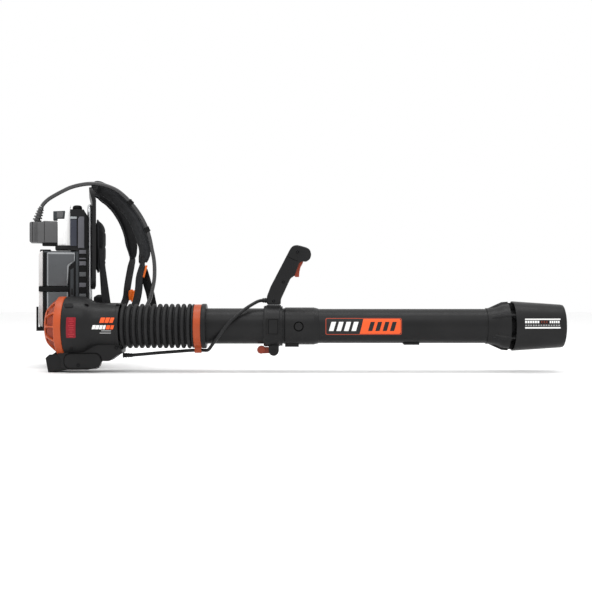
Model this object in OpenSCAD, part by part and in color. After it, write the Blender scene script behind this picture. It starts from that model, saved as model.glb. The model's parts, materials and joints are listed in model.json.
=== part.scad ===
// Backpack leaf blower: a battery hub on a harness, and an axial blower beside it.
// The origin is the centre of the back pad's front face, where the wearer's back rests.
// +X is the way the blower points, +Y is the wearer's left, +Z is up.

/* [Blower] */
// Radius of the fan housing at the fan
fan_r = 69.5; // [66:0.5:72]
// Radius of the housing's outlet neck
neck_r = 54; // [52:0.5:56]
// Outer radius of the bellows' ribs
bellows_r = 53.5; // [52:0.5:55]
// Outer radius of the rear tube
rear_tube_r = 42.5; // [42:0.1:43]
// Outer radius of the front tube
front_tube_r = 41; // [40.6:0.1:41.2]
// Wall of the air tubes
tube_wall = 2.5; // [2:0.1:3]
// Number of bellows ribs in each half
half_ribs = 5; // [4:1:6]
// Number of fan blades
blades = 9; // [7:1:11]
// Number of fixed vanes behind the fan
vanes = 6; // [5:1:8]
// Number of ribs across the nozzle's slots
nozzle_ribs = 6; // [5:1:8]

/* [Handle] */
// Width of the handle across the grip
grip_w = 32; // [28:1:36]
// Outer radius of the handle's clamp band
clamp_r = 49; // [48:0.5:50]

/* [Backpack] */
// Turn of the backpack away from the blower's axis
pack_yaw = 11; // [8:0.5:12]
// Half width of the battery hub
hub_half = 104; // [100:1:106]
// Half width of the back plate
plate_half = 122; // [115:1:124]
// Diameter of the power cord
cord_d = 10; // [9:0.5:10]
// Diameter of the throttle cable
cable_d = 8; // [7:0.5:8]

/* [Hidden] */
$fn = 96;
blower_at = [-93, -225, -203];
wall = 3;
gap = 0.3;
// stations along the blower's axis, from the intake's rear face
cage_end = 45;
neck_at = 122;
housing_end = 176;
ring_at = 254;
ring_len = 16;
bellows_end = 348;
band_end = 381;
clamp_at = 518;
clamp_end = 563;
bell_at = 570;
bell_end = 638;
front_end = 1056;
slot_at = 1103;
sleeve_at = 1113;
sleeve_end = 1233;
lever_pin_at = [542, 0, -58.8];
trigger_at = [605, 0, 159];
battery_travel = 100;
orange = [0.86, 0.33, 0.13];
dark = [0.18, 0.18, 0.185];
black = [0.08, 0.08, 0.085];
silver = [0.75, 0.76, 0.77];

// ---------- frames and shared shapes ----------

module blower() translate(blower_at) children();
module pack() rotate([0, 0, pack_yaw]) children();

// a profile of [radius, station] points turned about the blower's axis
module turned(profile, angle = 360) rotate([0, 90, 0]) rotate_extrude(angle = angle) polygon(profile);

// an outline in the X-Z plane, given thickness from y = low to y = high
module slab(outline, low, high) translate([0, high, 0]) rotate([90, 0, 0])
    linear_extrude(high - low) polygon(outline);

// a cylinder along X, and one along Y
module rod_x(r, low, high, fn = 48) translate([low, 0, 0]) rotate([0, 90, 0])
    cylinder(r = r, h = high - low, $fn = fn);
module rod_y(r, low, high, fn = 48) translate([0, low, 0]) rotate([-90, 0, 0])
    cylinder(r = r, h = high - low, $fn = fn);

// a rounded rectangle of an outline, as four circles joined by two squares
module rounded(w, h, r) {
    square([w - 2 * r, h], center = true);
    square([w, h - 2 * r], center = true);
    for (x = [-1, 1], y = [-1, 1]) translate([x * (w / 2 - r), y * (h / 2 - r)]) circle(r, $fn = 32);
}

// points of a smooth curve through hand-chosen points
function blend4(a, b, c, d, t) = 0.5 * ((2 * b) + (c - a) * t + (2 * a - 5 * b + 4 * c - d) * t * t
    + (3 * b - a - 3 * c + d) * t * t * t);
function curve(p, steps) = [
    for (i = [0 : len(p) - 2], k = [0 : steps - 1])
        blend4(p[max(i - 1, 0)], p[i], p[i + 1], p[min(i + 2, len(p) - 1)], k / steps),
    p[len(p) - 1]
];
function unit(v) = v / norm(v);
function tangent(p, i) = unit(p[min(i + 1, len(p) - 1)] - p[max(i - 1, 0)]);

// one polyhedron through rings of the same number of points
module skin(rings) {
    n = len(rings[0]);
    m = len(rings);
    polyhedron(
        points = [for (r = rings) each r],
        faces = concat(
            [[for (k = [0 : n - 1]) k]],
            [for (i = [0 : m - 2], k = [0 : n - 1])
                [i * n + k, (i + 1) * n + k, (i + 1) * n + (k + 1) % n, i * n + (k + 1) % n]],
            [[for (k = [n - 1 : -1 : 0]) (m - 1) * n + k]]
        ),
        convexity = 8
    );
}

// a round cord of radius r along a path
module cord(path, r, sides = 8) skin([
    for (i = [0 : len(path) - 1])
        let (t = tangent(path, i), a = unit(cross(t, [0.02, 1, 0.03])), b = cross(t, a))
        [for (k = [0 : sides - 1]) path[i] + r * (cos(360 * k / sides) * a + sin(360 * k / sides) * b)]
]);

// a flat band along a path: w across, t thick, its width leaned from +Y by `lean` degrees
module band(path, w, t, lean = 0) skin([
    for (i = [0 : len(path) - 1])
        let (
            d = tangent(path, i),
            n = unit(cross([0, 1, 0], d)),
            a = unit(cross(d, n)),
            li = is_list(lean) ? lean[i] : lean,
            across = cos(li) * a + sin(li) * n,
            out = cross(across, d),
            wi = is_list(w) ? w[i] : w,
            ti = is_list(t) ? t[i] : t
        )
        [for (c = [[-1, -0.4], [-0.86, -1], [0.86, -1], [1, -0.4], [1, 0.4], [0.86, 1], [-0.86, 1], [-1, 0.4]])
            path[i] + across * c[0] * wi / 2 + out * c[1] * ti / 2]
]);

// ---------- blower: housing ----------

housing_outer = [
    [fan_r - 1, cage_end], [fan_r, cage_end + 4], [fan_r, 84], [fan_r - 1.5, 92], [fan_r - 6, 101],
    [fan_r - 12, 113], [neck_r + 1, neck_at], [neck_r, neck_at + 10], [neck_r, housing_end]
];
function inward(p, d) = [for (i = [len(p) - 1 : -1 : 0]) [p[i][0] - d, p[i][1]]];
dots = [[164.5, -53], [120, -75.5], [73, -95]];

module housing_half() turned(concat(housing_outer, inward(housing_outer, wall)), 180);

module housing_near() color(dark) blower() rotate([180, 0, 0]) housing_half();

module housing_far() color(dark) blower() housing_half();

cage_bars = 12;
module intake_cage() color(orange) blower() {
    // rim, rear ring and hub ring, joined by bars
    turned([[fan_r + 0.5, 28], [fan_r + 0.5, cage_end], [fan_r - 6, cage_end], [fan_r - 6, 28]]);
    turned([[36, 0], [41, 0], [42.5, 3], [42.5, 7], [36, 7]]);
    turned([[15, 0], [20, 0], [20, 6], [15, 6]]);
    for (i = [0 : cage_bars - 1]) rotate([360 / cage_bars * i, 0, 0]) slab(
        [[0.2, 19], [0.2, 40], [3, 44], [28.5, fan_r - 0.5], [28.5, fan_r - 5.8], [9, 42], [6, 37], [5.8, 19]],
            -1.5, 1.5);
}

// ---------- blower: fan and motor ----------

module stator_vanes() color(dark) blower() {
    turned([[27, 84], [30, 84], [30, 128], [24, 148], [12, 160], [0, 163], [0, 160], [10.6, 157.4],
        [21.6, 146], [27, 127]]);
    for (i = [0 : vanes - 1]) rotate([360 / vanes * i + 15, 0, 0])
        slab([[90, 29.5], [126, 29.5], [137, neck_r - 4.5], [124, neck_r - 4.5], [112, 50.5], [100, 54],
            [90, 60]], -1.2, 1.2);
    turned([[neck_r - 5, 122], [neck_r - 3.2, 122], [neck_r - 3.2, 142], [neck_r - 5, 142]]);
    turned([[10.1, 123], [27.5, 123], [27.5, 127], [10.1, 129]]);
    turned([[7.2, 84], [27.5, 84], [27.5, 87], [11, 87], [11, 92], [7.2, 92]]);
}

module motor_stator() color("sienna") blower() difference() {
    rod_x(26.7, 93, 122);
    rod_x(15.5, 92, 123);
    for (i = [0 : 8]) rotate([40 * i, 0, 0]) translate([92, -2.5, 17]) cube([32, 5, 6]);
}

module motor_bearings() color("silver") blower() for (s = [[87.2, 91.8], [124, 128]]) difference() {
    rod_x(s[0] < 100 ? 7.1 : 10, s[0], s[1]);
    rod_x(4.05, s[0] - 1, s[1] + 1);
}

module motor_shaft() color("silver") blower() {
    rod_x(4, 48, 130);
    difference() {
        rod_x(14.5, 95, 120);
        rod_x(3.9, 94, 121);
    }
}

module fan_impeller() color(dark) blower() {
    difference() {
        turned([[0, 46], [12, 48], [22, 54], [28, 62], [28.5, 82], [4, 82], [4, 50], [0, 50]]);
        rod_x(4, 47.9, 83);
    }
    for (i = [0 : blades - 1]) rotate([360 / blades * i, 0, 0]) translate([68, 0, 26])
        rotate([0, 0, 48]) linear_extrude(38.5) square([2.2, 30], center = true);
}

// ---------- blower: controller box and mount ----------

box_outline = [
    [30, -50], [46, -50], [77, -50], [91, -46], [105, -40], [119, -36], [167, -36], [175, -48], [182, -54.7],
        [182, -63],
    [171, -68.4], [152, -82.3], [127, -82.3], [125, -87], [118, -96], [109, -101], [103, -103],
    [46, -103], [38.5, -97], [38.5, -78], [30, -66]
];
box_half = 31.5;

module housing_space() turned([
    [0, cage_end - 20], [fan_r + 1, cage_end - 20], [fan_r + 1, cage_end + 1], [fan_r + gap, cage_end + 1],
    [fan_r + gap, 84], [fan_r - 1.2, 92], [fan_r - 5.6, 101], [fan_r - 11.6, 113], [neck_r + 1.4, neck_at],
    [neck_r + gap, neck_at + 10], [neck_r + gap, 200], [0, 200]
]);

module controller_box() color(dark) blower() difference() {
    union() {
        slab(box_outline, -box_half, box_half);
        slab([[164, -66], [182, -64], [182, -76], [164, -76]], -9, 9);
    }
    housing_space();
    slab([[46, -76], [108, -76], [114, -84], [107, -96], [50, -98], [44, -92]], -box_half - 1, box_half - 3);
    translate([0, 0, 0]) for (d = [dots[0], dots[1]]) translate([d[0], 0, d[1]]) rod_y(3, -40, -24, 24);
    translate([182.1, 0, -70]) rotate([0, 0, 0]) rod_x(4.4, -16, 1, 32);
    // power inlet, on the hidden side
    translate([140, 0, -66]) rod_y(7, box_half - 14, box_half + 1, 32);
}

module controller_cover() color(dark) blower() difference() {
    translate([76, -box_half, -86]) rotate([90, 0, 0]) linear_extrude(4) rounded(76, 33.4, 14);
    translate([dots[2][0], 0, dots[2][1]]) rod_y(3, -37, -33.5, 24);
}

module controller_board() color("darkgreen") blower() {
    translate([52, -24, -91]) cube([54, 48, 1.8]);
    for (i = [0 : 5]) translate([56 + 8 * i, -18, -89.2]) cube([4.5, 10, 6]);
    for (i = [0 : 1]) translate([64 + 22 * i, 12, -89.2]) cylinder(r = 5.5, h = 9, $fn = 32);
}

module mount_bracket() color(dark) blower() difference() {
    slab([[-1, -75.4], [12, -64], [29.7, -64], [29.7, -66.2], [38.2, -78], [38.2, -97.2], [45.5, -103.2],
        [44, -104.5], [5.5, -109.5]], -22, 46);
    housing_space();
    turned([[0, -5], [fan_r + 1, -5], [fan_r + 1, cage_end + 2], [0, cage_end + 2]]);
    slab([[8, -80], [26, -80], [30, -98], [12, -101]], 20, 47);
}

module mount_arm() color(black) blower() {
    slab([[8.2, -80.2], [25.8, -80.2], [29.6, -97.8], [12.2, -100.6]], 20.2, 132);
    slab([[10, -82], [52, -82], [52, -14.6], [34, -14.6], [34, -62], [27, -80], [26.2, -80.1]], 112, 132);
}

module housing_screws() color(black) blower() {
    for (d = [dots[0], dots[1]]) translate([d[0], 0, d[1]]) rod_y(2.8, -29, -24, 24);
    translate([dots[2][0], 0, dots[2][1]]) rod_y(2.8, -35, -33.6, 24);
}

// ---------- blower: bellows ----------

rib_step = 14.6;
function rib(s, low, t) = [[low, s - 5], [bellows_r - 2.5, s - 4.2], [bellows_r, s - 1.8], [bellows_r, s + 1.8],
    [bellows_r - 2.5, s + 4.2], [low, s + 5]];
valley_r = bellows_r - 8.5;
bellows_in = valley_r - 2.5;

module ribbed(low, high) {
    n = half_ribs;
    step = (high - low) / n;
    turned(concat(
        [[bellows_in, low]],
        [[valley_r, low]],
        [for (i = [0 : n - 1]) each rib(low + step * (i + 0.5), valley_r, 1)],
        [[valley_r, high], [bellows_in, high]]
    ));
}

module bellows_rear() color(black) blower() {
    turned([[bellows_in, housing_end + gap], [valley_r + 3, housing_end + gap], [valley_r, housing_end + 3],
        [bellows_in, housing_end + 3]]);
    ribbed(housing_end + 3, ring_at - gap);
}
module bellows_ring() color(black) blower()
    turned([[bellows_in, ring_at], [valley_r, ring_at], each rib(ring_at + ring_len / 2, valley_r, 1),
        [valley_r, ring_at + ring_len], [bellows_in, ring_at + ring_len]]);
module bellows_front() color(black) blower() ribbed(ring_at + ring_len + gap, bellows_end - gap);

// ---------- blower: tubes and nozzle ----------

module swivel_band() color(orange) blower() {
    turned([[bellows_in + 4, 352], [51.2, 352], [51.8, 353], [51.8, 368.6], [51.2, 369.6],
        [bellows_in + 4, 369.6]]);
    difference() {
        slab([[353, -48], [368.6, -48], [368.6, -64], [353, -64]], -11, 11);
        rod_x(50, 340, 380);
        translate([0, 0, -58.2]) rod_x(cable_d / 2 + 0.4, 350, 371, 32);
    }
}

// rear tube: collars for the band, a plain run, and a bell that holds the front tube
module rear_tube() color(dark) blower() difference() {
    union() {
        turned([
            [rear_tube_r - tube_wall, bellows_end], [bellows_r - 1, bellows_end], [bellows_r - 1, 351.7],
                [bellows_in + 3.7, 351.7],
            [bellows_in + 3.7, 369.9], [bellows_r - 1, 369.9], [bellows_r, 372], [bellows_r, 379],
                [bellows_r - 1, band_end],
            [rear_tube_r, band_end], [rear_tube_r, bell_at - 3], [44.6, bell_at], [44.6, bell_end],
                [front_tube_r + 0.7, bell_end + 11],
            [front_tube_r + 0.3, bell_end + 11], [front_tube_r + 0.3, bell_at + 4],
            [rear_tube_r - tube_wall, bell_at + 4]
        ]);
        slab([[569, -43], [602, -43], [602, -49.5], [569, -49.5]], -12, 12);
    }
    rod_x(front_tube_r + 0.3, bell_at + 4, bell_end + 12);
    translate([601.5, 0, 0]) rod_y(11.3, -60, -30, 48);
}

module front_tube() color(dark) blower() difference() {
    union() {
        turned([[front_tube_r - tube_wall, bell_at + 4.5], [front_tube_r, bell_at + 4.5],
            [front_tube_r, front_end], [front_tube_r - tube_wall, front_end]]);
        slab([[850, -40], [890, -40], [890, -44.8], [854, -44.8]], -11, 11);
    }
    rod_x(front_tube_r - tube_wall, bell_at, front_end + 1);
    translate([601.5, 0, 0]) rod_y(9.3, -60, -30, 48);
}

module tube_button() color(dark) blower() translate([601.5, 0, 0]) intersection() {
    union() {
        rod_y(9, -50, -32);
        rod_y(14, -35, -32.2);
    }
    rod_x(45.6, -40, 40);
    translate([0, -40, 0]) cube([40, 16, 40], center = true);
}

cone_skirt = [[front_tube_r + gap, 1050], [front_tube_r + 2, 1050], [45, 1062], [54, 1088], [56, slot_at],
    [53.4, slot_at], [51.4, 1089], [43.2, 1066], [front_tube_r + gap, 1060]];
module nozzle_cone() color(dark) blower() {
    turned(cone_skirt);
    // inner nozzle, seated on the tube's end
    turned([[36.5, 1056 + gap], [front_tube_r, 1056 + gap], [front_tube_r, 1062], [39, 1064], [37.5, 1200],
        [35, 1200], [36.5, 1070]]);
    turned([[40.8, 1060.5], [44.3, 1063], [43.5, 1066], [38.5, 1066]]);
    // ribs stand proud of the skirt, cross the slot, and guide the sleeve from within
    for (i = [0 : nozzle_ribs - 1]) rotate([360 / nozzle_ribs * i, 0, 0])
        slab([[1064, 38.6], [1063, 44.5], [1086, 57.4], [slot_at - 1, 58.8], [slot_at - 0.4, 58.2],
            [slot_at - 0.4, 56.2],
            [1120, 55.8], [1140, 54.3], [1152, 50], [1152, 37.6]], -2.4, 2.4);
}

module nozzle_sleeve() color(dark) blower() difference() {
    turned([
        [57, sleeve_at], [59.4, sleeve_at], [51.6, sleeve_end - 5], [50.4, sleeve_end], [48, sleeve_end],
        [48, sleeve_end - 14], [49.6, sleeve_end - 15], [56.4, sleeve_at + 12]
    ]);
    rod_x(48, sleeve_end - 14, sleeve_end + 1);
}

// ---------- blower: handle ----------

module handle_clamp() color(dark) blower() difference() {
    union() {
        turned([[rear_tube_r + 0.25, clamp_at], [clamp_r - 2, clamp_at], [clamp_r, clamp_at + 3],
            [clamp_r, clamp_end - 8],
            [clamp_r - 1.5, clamp_end - 6], [clamp_r - 1.5, clamp_end], [rear_tube_r + 0.25, clamp_end]]);
        // socket for the handle, and the lever's two ears
        slab([[525, 40], [559, 40], [559, 50.5], [525, 50.5]], -17, 17);
        for (y = [-16, 6]) {
            slab([[530, -44], [554, -44], [554, -58.8], [530, -58.8]], y, y + 10);
            translate([lever_pin_at[0], 0, lever_pin_at[2]]) rod_y(12, y, y + 10);
        }
        slab([[527, 8 + 12], [555, 8 + 12], [555, -20.5], [527, -20.5]], -51.5, -40);
    }
    rod_x(rear_tube_r + 0.25, clamp_at - 1, clamp_end + 1, 96);
    translate([lever_pin_at[0], 0, lever_pin_at[2]]) rod_y(3.05, -20, 20);
    translate([0, 0, -48]) cube([2000, 2, 12], center = true);
}

grip_outline = [
    [526, 51], [525.5, 71], [534.7, 95], [582, 186], [588, 192], [597, 194], [622, 187.5], [629, 182],
        [632, 171],
    [629, 160.5], [620, 154], [611.5, 154.8], [603, 152], [597.5, 136], [592, 121], [582, 114], [559, 64],
        [558.5, 51]
];
module trigger_space(r, far = 10) translate(trigger_at) rod_y(r, -8.3, far);

module grip_half(side) difference() {
    slab(grip_outline, side < 0 ? -grip_w / 2 : 0.05, side < 0 ? -0.05 : grip_w / 2);
    // room for the trigger, the switch and the cable
    slab([[590, 158], [594, 165.5], [614, 165.5], [616, 150], [625, 100], [578, 100], [572, 112], [584, 148]],
        -8.5, 8.5);
    slab([[560, 90], [575, 120], [585, 143], [580, 150], [566, 130], [548, 92], [538, 66], [538, 58],
        [548, 58]], -7, 7);
    translate([0, 0, 61.5]) rod_x(cable_d / 2 + 0.1, 520, 545, 32);
    for (s = [[599, 177], [564.5, 105.5], [542, 60]]) translate([s[0], 0, s[1]]) rod_y(2.6, -20, -8.8, 24);
}
module handle_near() color(dark) blower() grip_half(-1);
module handle_far() color(dark) blower() {
    grip_half(1);
    trigger_space(2.5, 12);
}
module handle_screws() color(black) blower()
    for (s = [[599, 177], [564.5, 105.5], [542, 60]]) translate([s[0], 0, s[1]]) rod_y(2.5, -14, -8.9, 24);

module trigger() color(orange) blower() difference() {
    union() {
        slab([[598, 163], [611, 163], [612, 152], [609.5, 147], [606, 141], [603.5, 130], [602.5, 117.5],
            [593.5, 117.5],
            [590.5, 121], [593, 135], [597, 150]], -7.5, 7.5);
    }
    translate(trigger_at) rod_y(2.56, -9, 9);
}

module trigger_switch() color(black) blower() {
    slab([[566.5, 112], [576.5, 118.5], [586.5, 139.5], [577, 143.5]], -6.5, 6.5);
    slab([[580, 127], [583.6, 126.6], [585.2, 130], [581.6, 131.6]], -2.5, 2.5);
}

module lever_pin() color("silver") blower() translate([lever_pin_at[0], 0, lever_pin_at[2]]) rod_y(3, -18, 18);

module clamp_lever() color(orange) blower() translate(lever_pin_at) difference() {
    union() {
        rod_y(8, -5.6, 5.6);
        slab([[-30, 11.5], [-25.5, 11.5], [-22.5, 8.6], [0, 7.8], [0, -6], [-24, -6.8], [-30, -7]], -5.6, 5.6);
        translate([-30.3, 0, 2.2]) rod_y(9.5, -10, 10);
    }
    rod_y(3.06, -12, 12);
}

// ---------- blower: throttle cable, in three stretches ----------

cable_a = [[182.4, 0, -70], [190, 0, -70], [205, 0, -69.5], [230, 0, -67.5], [ring_at + 8, 0, -64.5]];
cable_b = [[ring_at + 8.4, 0, -64.5], [285, 0, -62.8], [310, 0, -61], [335, 0, -59], [350, 0, -58.2],
    [369, 0, -58.2]];
cable_c = [
    [369.4, 0, -58.2], [374, 0, -58.2], [379, -3, -58.4], [384, -9.5, -57.4], [389, -17.5, -53.5],
        [395, -28, -45.5],
    [403, -38, -35], [415, -46.3, -20], [430, -49, 0], [446, -46, 17], [463, -39, 32], [478, -30, 43.5],
        [492, -19, 52.5],
    [504, -9, 59], [514, -2, 61.4], [524, 0, 61.5], [536, 0, 61.5]
];
module cable_rear() color(black) blower() cord(curve(cable_a, 3), cable_d / 2);
module cable_mid() color(black) blower() cord(curve(cable_b, 3), cable_d / 2);
module cable_front() color(black) blower() cord(curve(cable_c, 2), cable_d / 2);

// ---------- backpack: frame ----------

leg_v = 92;
frame_u = -36;
module frame_leg(v) translate([frame_u, v, -209]) cylinder(r = 6, h = 285, $fn = 48);
module pack_frame() color(silver) pack() {
    for (v = [-leg_v, leg_v]) frame_leg(v);
    for (v = [-1, 1]) translate([frame_u, v * (leg_v - 20), 76]) rotate([0, 0, v < 0 ? 180 : 0])
        rotate([90, 0, 90])
        rotate_extrude(angle = 90, $fn = 48) translate([20, 0]) circle(6, $fn = 32);
    translate([frame_u, 0, 96]) rod_y(6, -leg_v + 20, leg_v - 20);
    for (z = [-60, 40]) translate([frame_u, 0, z]) cube([4, 2 * leg_v - 11.9, 16], center = true);
}

module base_bracket() color(black) pack() {
    translate([-163, -112, -217.5]) cube([150, 224, 8.3]);
    for (v = [-112, 106.2]) {
        translate([-166, v, -217.5]) cube([5, 5.8, 60]);
        translate([-161.2, v, -217.5]) cube([15, 5.8, 8.4]);
    }
}

module back_plate() color(dark) pack() difference() {
    intersection() {
        slab([[-30, -113], [-23, -113], [-20.5, -105], [-20.5, 108], [-24, 128], [-31, 143], [-38, 141],
            [-37.5, 134],
            [-30, 104]], -plate_half, plate_half);
        translate([-60, 0, 14]) rotate([90, 0, 90]) linear_extrude(60) rounded(2 * plate_half, 260, 26);
    }
    for (z = [-90, 90]) translate([-40, 0, z]) rotate([90, 0, 90]) linear_extrude(40) rounded(90, 18, 8);
}

module back_pad() color(black) pack() intersection() {
    slab([[-20.2, -77], [0, -62], [0, 42], [-8, 60], [-20.2, 72]], -100, 100);
    translate([-40, 0, -2.5]) rotate([90, 0, 90]) linear_extrude(60) rounded(200, 150, 24);
}

module lumbar_pad() color(black) pack() intersection() {
    slab([[-29.8, -150], [-29.8, -138], [-20, -131], [-5, -129], [10, -130.5], [17, -138], [15, -150]],
        -100, 100);
    translate([-40, 0, -140]) rotate([90, 0, 90]) linear_extrude(80) rounded(200, 24, 8);
}

// ---------- backpack: straps ----------

near_v = -66;
far_v = 66;
near_line = [[-23.4, 139.5], [-18, 147], [9, 133], [32, 116], [54, 93], [76, 62], [93, 21], [100, -11],
    [98, -36], [95.6, -49]];
far_line = [[-24, 137.5], [-12, 140], [4, 129], [28, 107], [48, 75], [63, 37], [71, 1], [76, -29]];
near_web = [
    [95.2, -51.4], [93.4, -61.6], [88.5, -80], [82, -105], [74, -130], [62, -160], [44, -190], [10, -204],
        [-12, -207.5]
];
far_web = [
    [76.6, -31.5], [76.2, -37], [73.5, -48], [70, -75], [67, -103], [62, -130], [56, -155], [40, -187],
        [10, -204],
    [-12, -207.5]
];
near_tail = [[107.8, -66.5], [109.5, -80], [116.5, -105], [124.5, -135], [130.5, -165], [132.5, -185]];
function lifted(line, v, spread = 0) = [for (i = [0 : len(line) - 1]) [line[i][0], v + spread * i, line[i][1]]];
function taper(n, a, b, c) = [for (i = [0 : n - 1]) let (t = i / (n - 1))
    t < 0.15 ? a + (b - a) * t / 0.15 : t > 0.88 ? b + (c - b) * (t - 0.88) / 0.12 : b];

// a lean that grows from one angle to another in the first quarter
function easing(n, a, b) = [for (i = [0 : n - 1]) a + (b - a) * min(1, 4 * i / (n - 1))];

module padded_strap(line, v, spread, lean) {
    path = curve(lifted(line, v, spread), 3);
    n = len(path);
    band(path, taper(n, 40, 62, 30), taper(n, 8, 15, 6), easing(n, 0, lean));
}
module strap_near() color(dark) pack() padded_strap(near_line, near_v, -2, 22);
module strap_far() color(black) pack() padded_strap(far_line, far_v, 1.5, -22);
module webbing_near() color(black) pack() {
    web = curve(lifted(near_web, near_v - 18), 2);
    tail = curve(lifted(near_tail, near_v - 20), 2);
    band(web, 26, 3, easing(len(web), 15, 30));
    band(tail, 26, 2.5, easing(len(tail), 11, 30));
}
module webbing_far() color(black) pack() band(curve(lifted(far_web, far_v + 10), 2), 26, 3, -30);
module waist_strap() color(dark) pack() for (v = [-108.2, 105.2])
    slab([[-14, -12], [-2, -12], [3, -60], [16, -152], [19, -206], [2, -206], [-5, -152], [-10, -70]],
        v, v + 3);

module ladder_lock(at, turn) translate(at) rotate([0, turn, 0]) difference() {
    cube([5, 32, 32], center = true);
    for (z = [-8, 8]) translate([0, 0, z]) cube([9, 27, 9], center = true);
}
module strap_buckles() color(orange) pack() {
    ladder_lock([101.3, near_v - 24, -68.5], 14);
    ladder_lock([78, far_v + 8, -131], 14);
}

// ---------- backpack: battery hub ----------

chassis_outline = [
    [-39, -17], [-39, -208.9], [-86.5, -208.9], [-86.5, -119.6], [-160, -119.6], [-160, -107.4],
        [-86.5, -107.4],
    [-86.5, -61.5], [-69.5, -46.3], [-69.5, -17]
];
pocket_z = [-39.7, -64.6, -93.2, -121.9, -151.7, -181.6];
module hub_chassis() color(dark) pack() {
    difference() {
        slab(chassis_outline, -hub_half - 1, hub_half + 1);
        slab([[-38, -30], [-38, -196], [-62, -196], [-62, -30]], -88, 88);
        slab([[-61, -34], [-61, -190], [-82, -190], [-82, -70], [-66, -54], [-66, -34]], -96, 96);
        for (z = pocket_z, v = [-1, 1]) translate([-52.5, v * (hub_half + 1), z]) cube([19, 8, 13],
            center = true);
        for (v = [-1, 1]) translate([-77.5, v * (hub_half + 1), -135]) cube([9, 5, 130], center = true);
        for (v = [-leg_v, leg_v]) translate([frame_u, v, -212]) cylinder(r = 6.2, h = 200, $fn = 48);
    }
}

upper_outline = [[-147.7, -18.5], [-69.9, -18.5], [-69.9, -46.6], [-86.9, -61.8], [-86.9, -107],
    [-147.7, -107]];
lower_outline = [[-147.7, -120], [-86.9, -120], [-86.9, -208.5], [-147.7, -208.5]];
upper_room = [[-148.7, -22], [-92, -22], [-92, -103.5], [-148.7, -103.5]];
lower_room = [[-148.7, -123.5], [-90.5, -123.5], [-90.5, -205], [-148.7, -205]];

module battery_case(outline, room) difference() {
    slab(outline, -hub_half, hub_half);
    slab(room, -hub_half + 3, hub_half - 3);
    for (v = [-1, 1]) translate([-117, v * (hub_half + 1), (room[0][1] + room[2][1]) / 2]) cube([50, 5, 74],
        center = true);
}
module battery_cells(top) for (v = [-72, 4]) {
    for (z = [-13, -38, -63]) translate([-104, 0, top + z]) rod_y(10.5, v, v + 68);
    for (z = [-25, -51]) translate([-127, 0, top + z]) rod_y(10.5, v, v + 68);
}
module battery_upper_case() color("dimgray") pack() battery_case(upper_outline, upper_room);
module battery_lower_case() color("dimgray") pack() battery_case(lower_outline, lower_room);
module battery_upper_cells() color("steelblue") pack() battery_cells(-24.5);
module battery_lower_cells() color("steelblue") pack() battery_cells(-126);
module battery_upper_cap() color(silver) pack() {
    slab([[-148, -18.5], [-154, -18.5], [-161, -27], [-161, -107], [-148, -107]], -hub_half, hub_half);
    // carrying lip across the top of the module
    slab([[-159, -19], [-157, -14.4], [-133, -14.4], [-131, -18.3], [-148.2, -18.3], [-148.2, -19]], -90, 90);
}
module battery_lower_cap() color(silver) pack()
    slab([[-148, -120], [-159.8, -120], [-159.8, -199], [-158, -205], [-152, -208.5], [-148, -208.5]],
        -hub_half, hub_half);

module hub_top() color(dark) pack() difference() {
    union() {
        slab([[-39, -16.7], [-39, 66], [-51, 86], [-84, 86], [-84, -16.7]], -hub_half - 1, hub_half + 1);
        slab([[-121, -14], [-83, -14], [-83, -4.5], [-121, -4.5]], -92, 0);
    }
    slab([[-43, -10], [-43, 64], [-53.5, 80], [-81, 80], [-81, -10]], -hub_half + 2, hub_half - 2);
    for (v = [-leg_v, leg_v]) translate([frame_u, v, -20]) cylinder(r = 6.2, h = 110, $fn = 48);
    translate([-67, -60, 78]) cylinder(r = 12.06, h = 10, $fn = 64);
    for (v = [-1, 1]) translate([-67, v * (hub_half + 1), 24]) cube([26, 4, 72], center = true);
}

module hub_button() color(black) pack() translate([-67, -60, 76]) rotate_extrude($fn = 64)
    polygon([[0, 0], [13.3, 0], [13.3, 3.6], [12, 3.6], [12, 18], [10.5, 21.5], [7, 23.4], [0, 24]]);

plug_v = [-86, -36];
module power_socket() color("whitesmoke") pack() {
    slab([[-95, -4.2], [-84.3, -4.2], [-84.3, 97], [-86, 99], [-92, 99], [-95, 96]],
        plug_v[0] - 3, plug_v[1] + 3);
    slab([[-115.5, -4.2], [-95, -4.2], [-95, 62.5], [-115.5, 62.5]], plug_v[0], plug_v[1]);
}

module power_plug() color(dark) pack() {
    slab([[-184, 6], [-181, 2.6], [-153, 2.6], [-153, -4.2], [-115.8, -4.2], [-115.8, 57.5], [-128, 57.5],
        [-150, 58],
        [-154, 55.5], [-181, 55.5], [-184, 52]], plug_v[0], plug_v[1]);
    for (v = [-77.6, -47.7]) {
        translate([-121, 0, 61]) rod_y(3.4, v, v + 3.3, 32);
        slab([[-124.4, 57], [-117.6, 57], [-117.6, 61], [-124.4, 61]], v, v + 3.3);
    }
    translate([-121, 0, 61]) rod_y(1.45, -76, -46, 32);
}
module plug_latch() color(dark) pack() difference() {
    union() {
        slab([[-127, 60], [-115.8, 60], [-115.8, 65], [-99, 65], [-97, 85], [-127, 83]], -74, -48);
        translate([-121, 0, 61]) rod_y(3.2, -74, -48, 32);
    }
    translate([-121, 0, 61]) rod_y(1.5, -75, -47, 32);
}

relief_low = [-168, 55.8];
relief_top = [-155.5, 95];
module plug_relief() color(black) pack() translate([relief_low[0], -61, relief_low[1]]) rotate([0, 17.7, 0])
    rotate_extrude($fn = 48)
    polygon([[0, 0.6], [11, 3], [11, 6], [7, 7], [7, 10], [10.5, 11], [10.5, 14], [7, 15], [7, 18], [9.8, 19],
        [9.8, 22], [6.6, 23],
        [6.6, 26], [9, 27], [9, 30], [6.4, 31], [6.4, 34], [8.4, 35], [8.4, 38], [6.4, 39.5], [0, 39.5]]);

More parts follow.
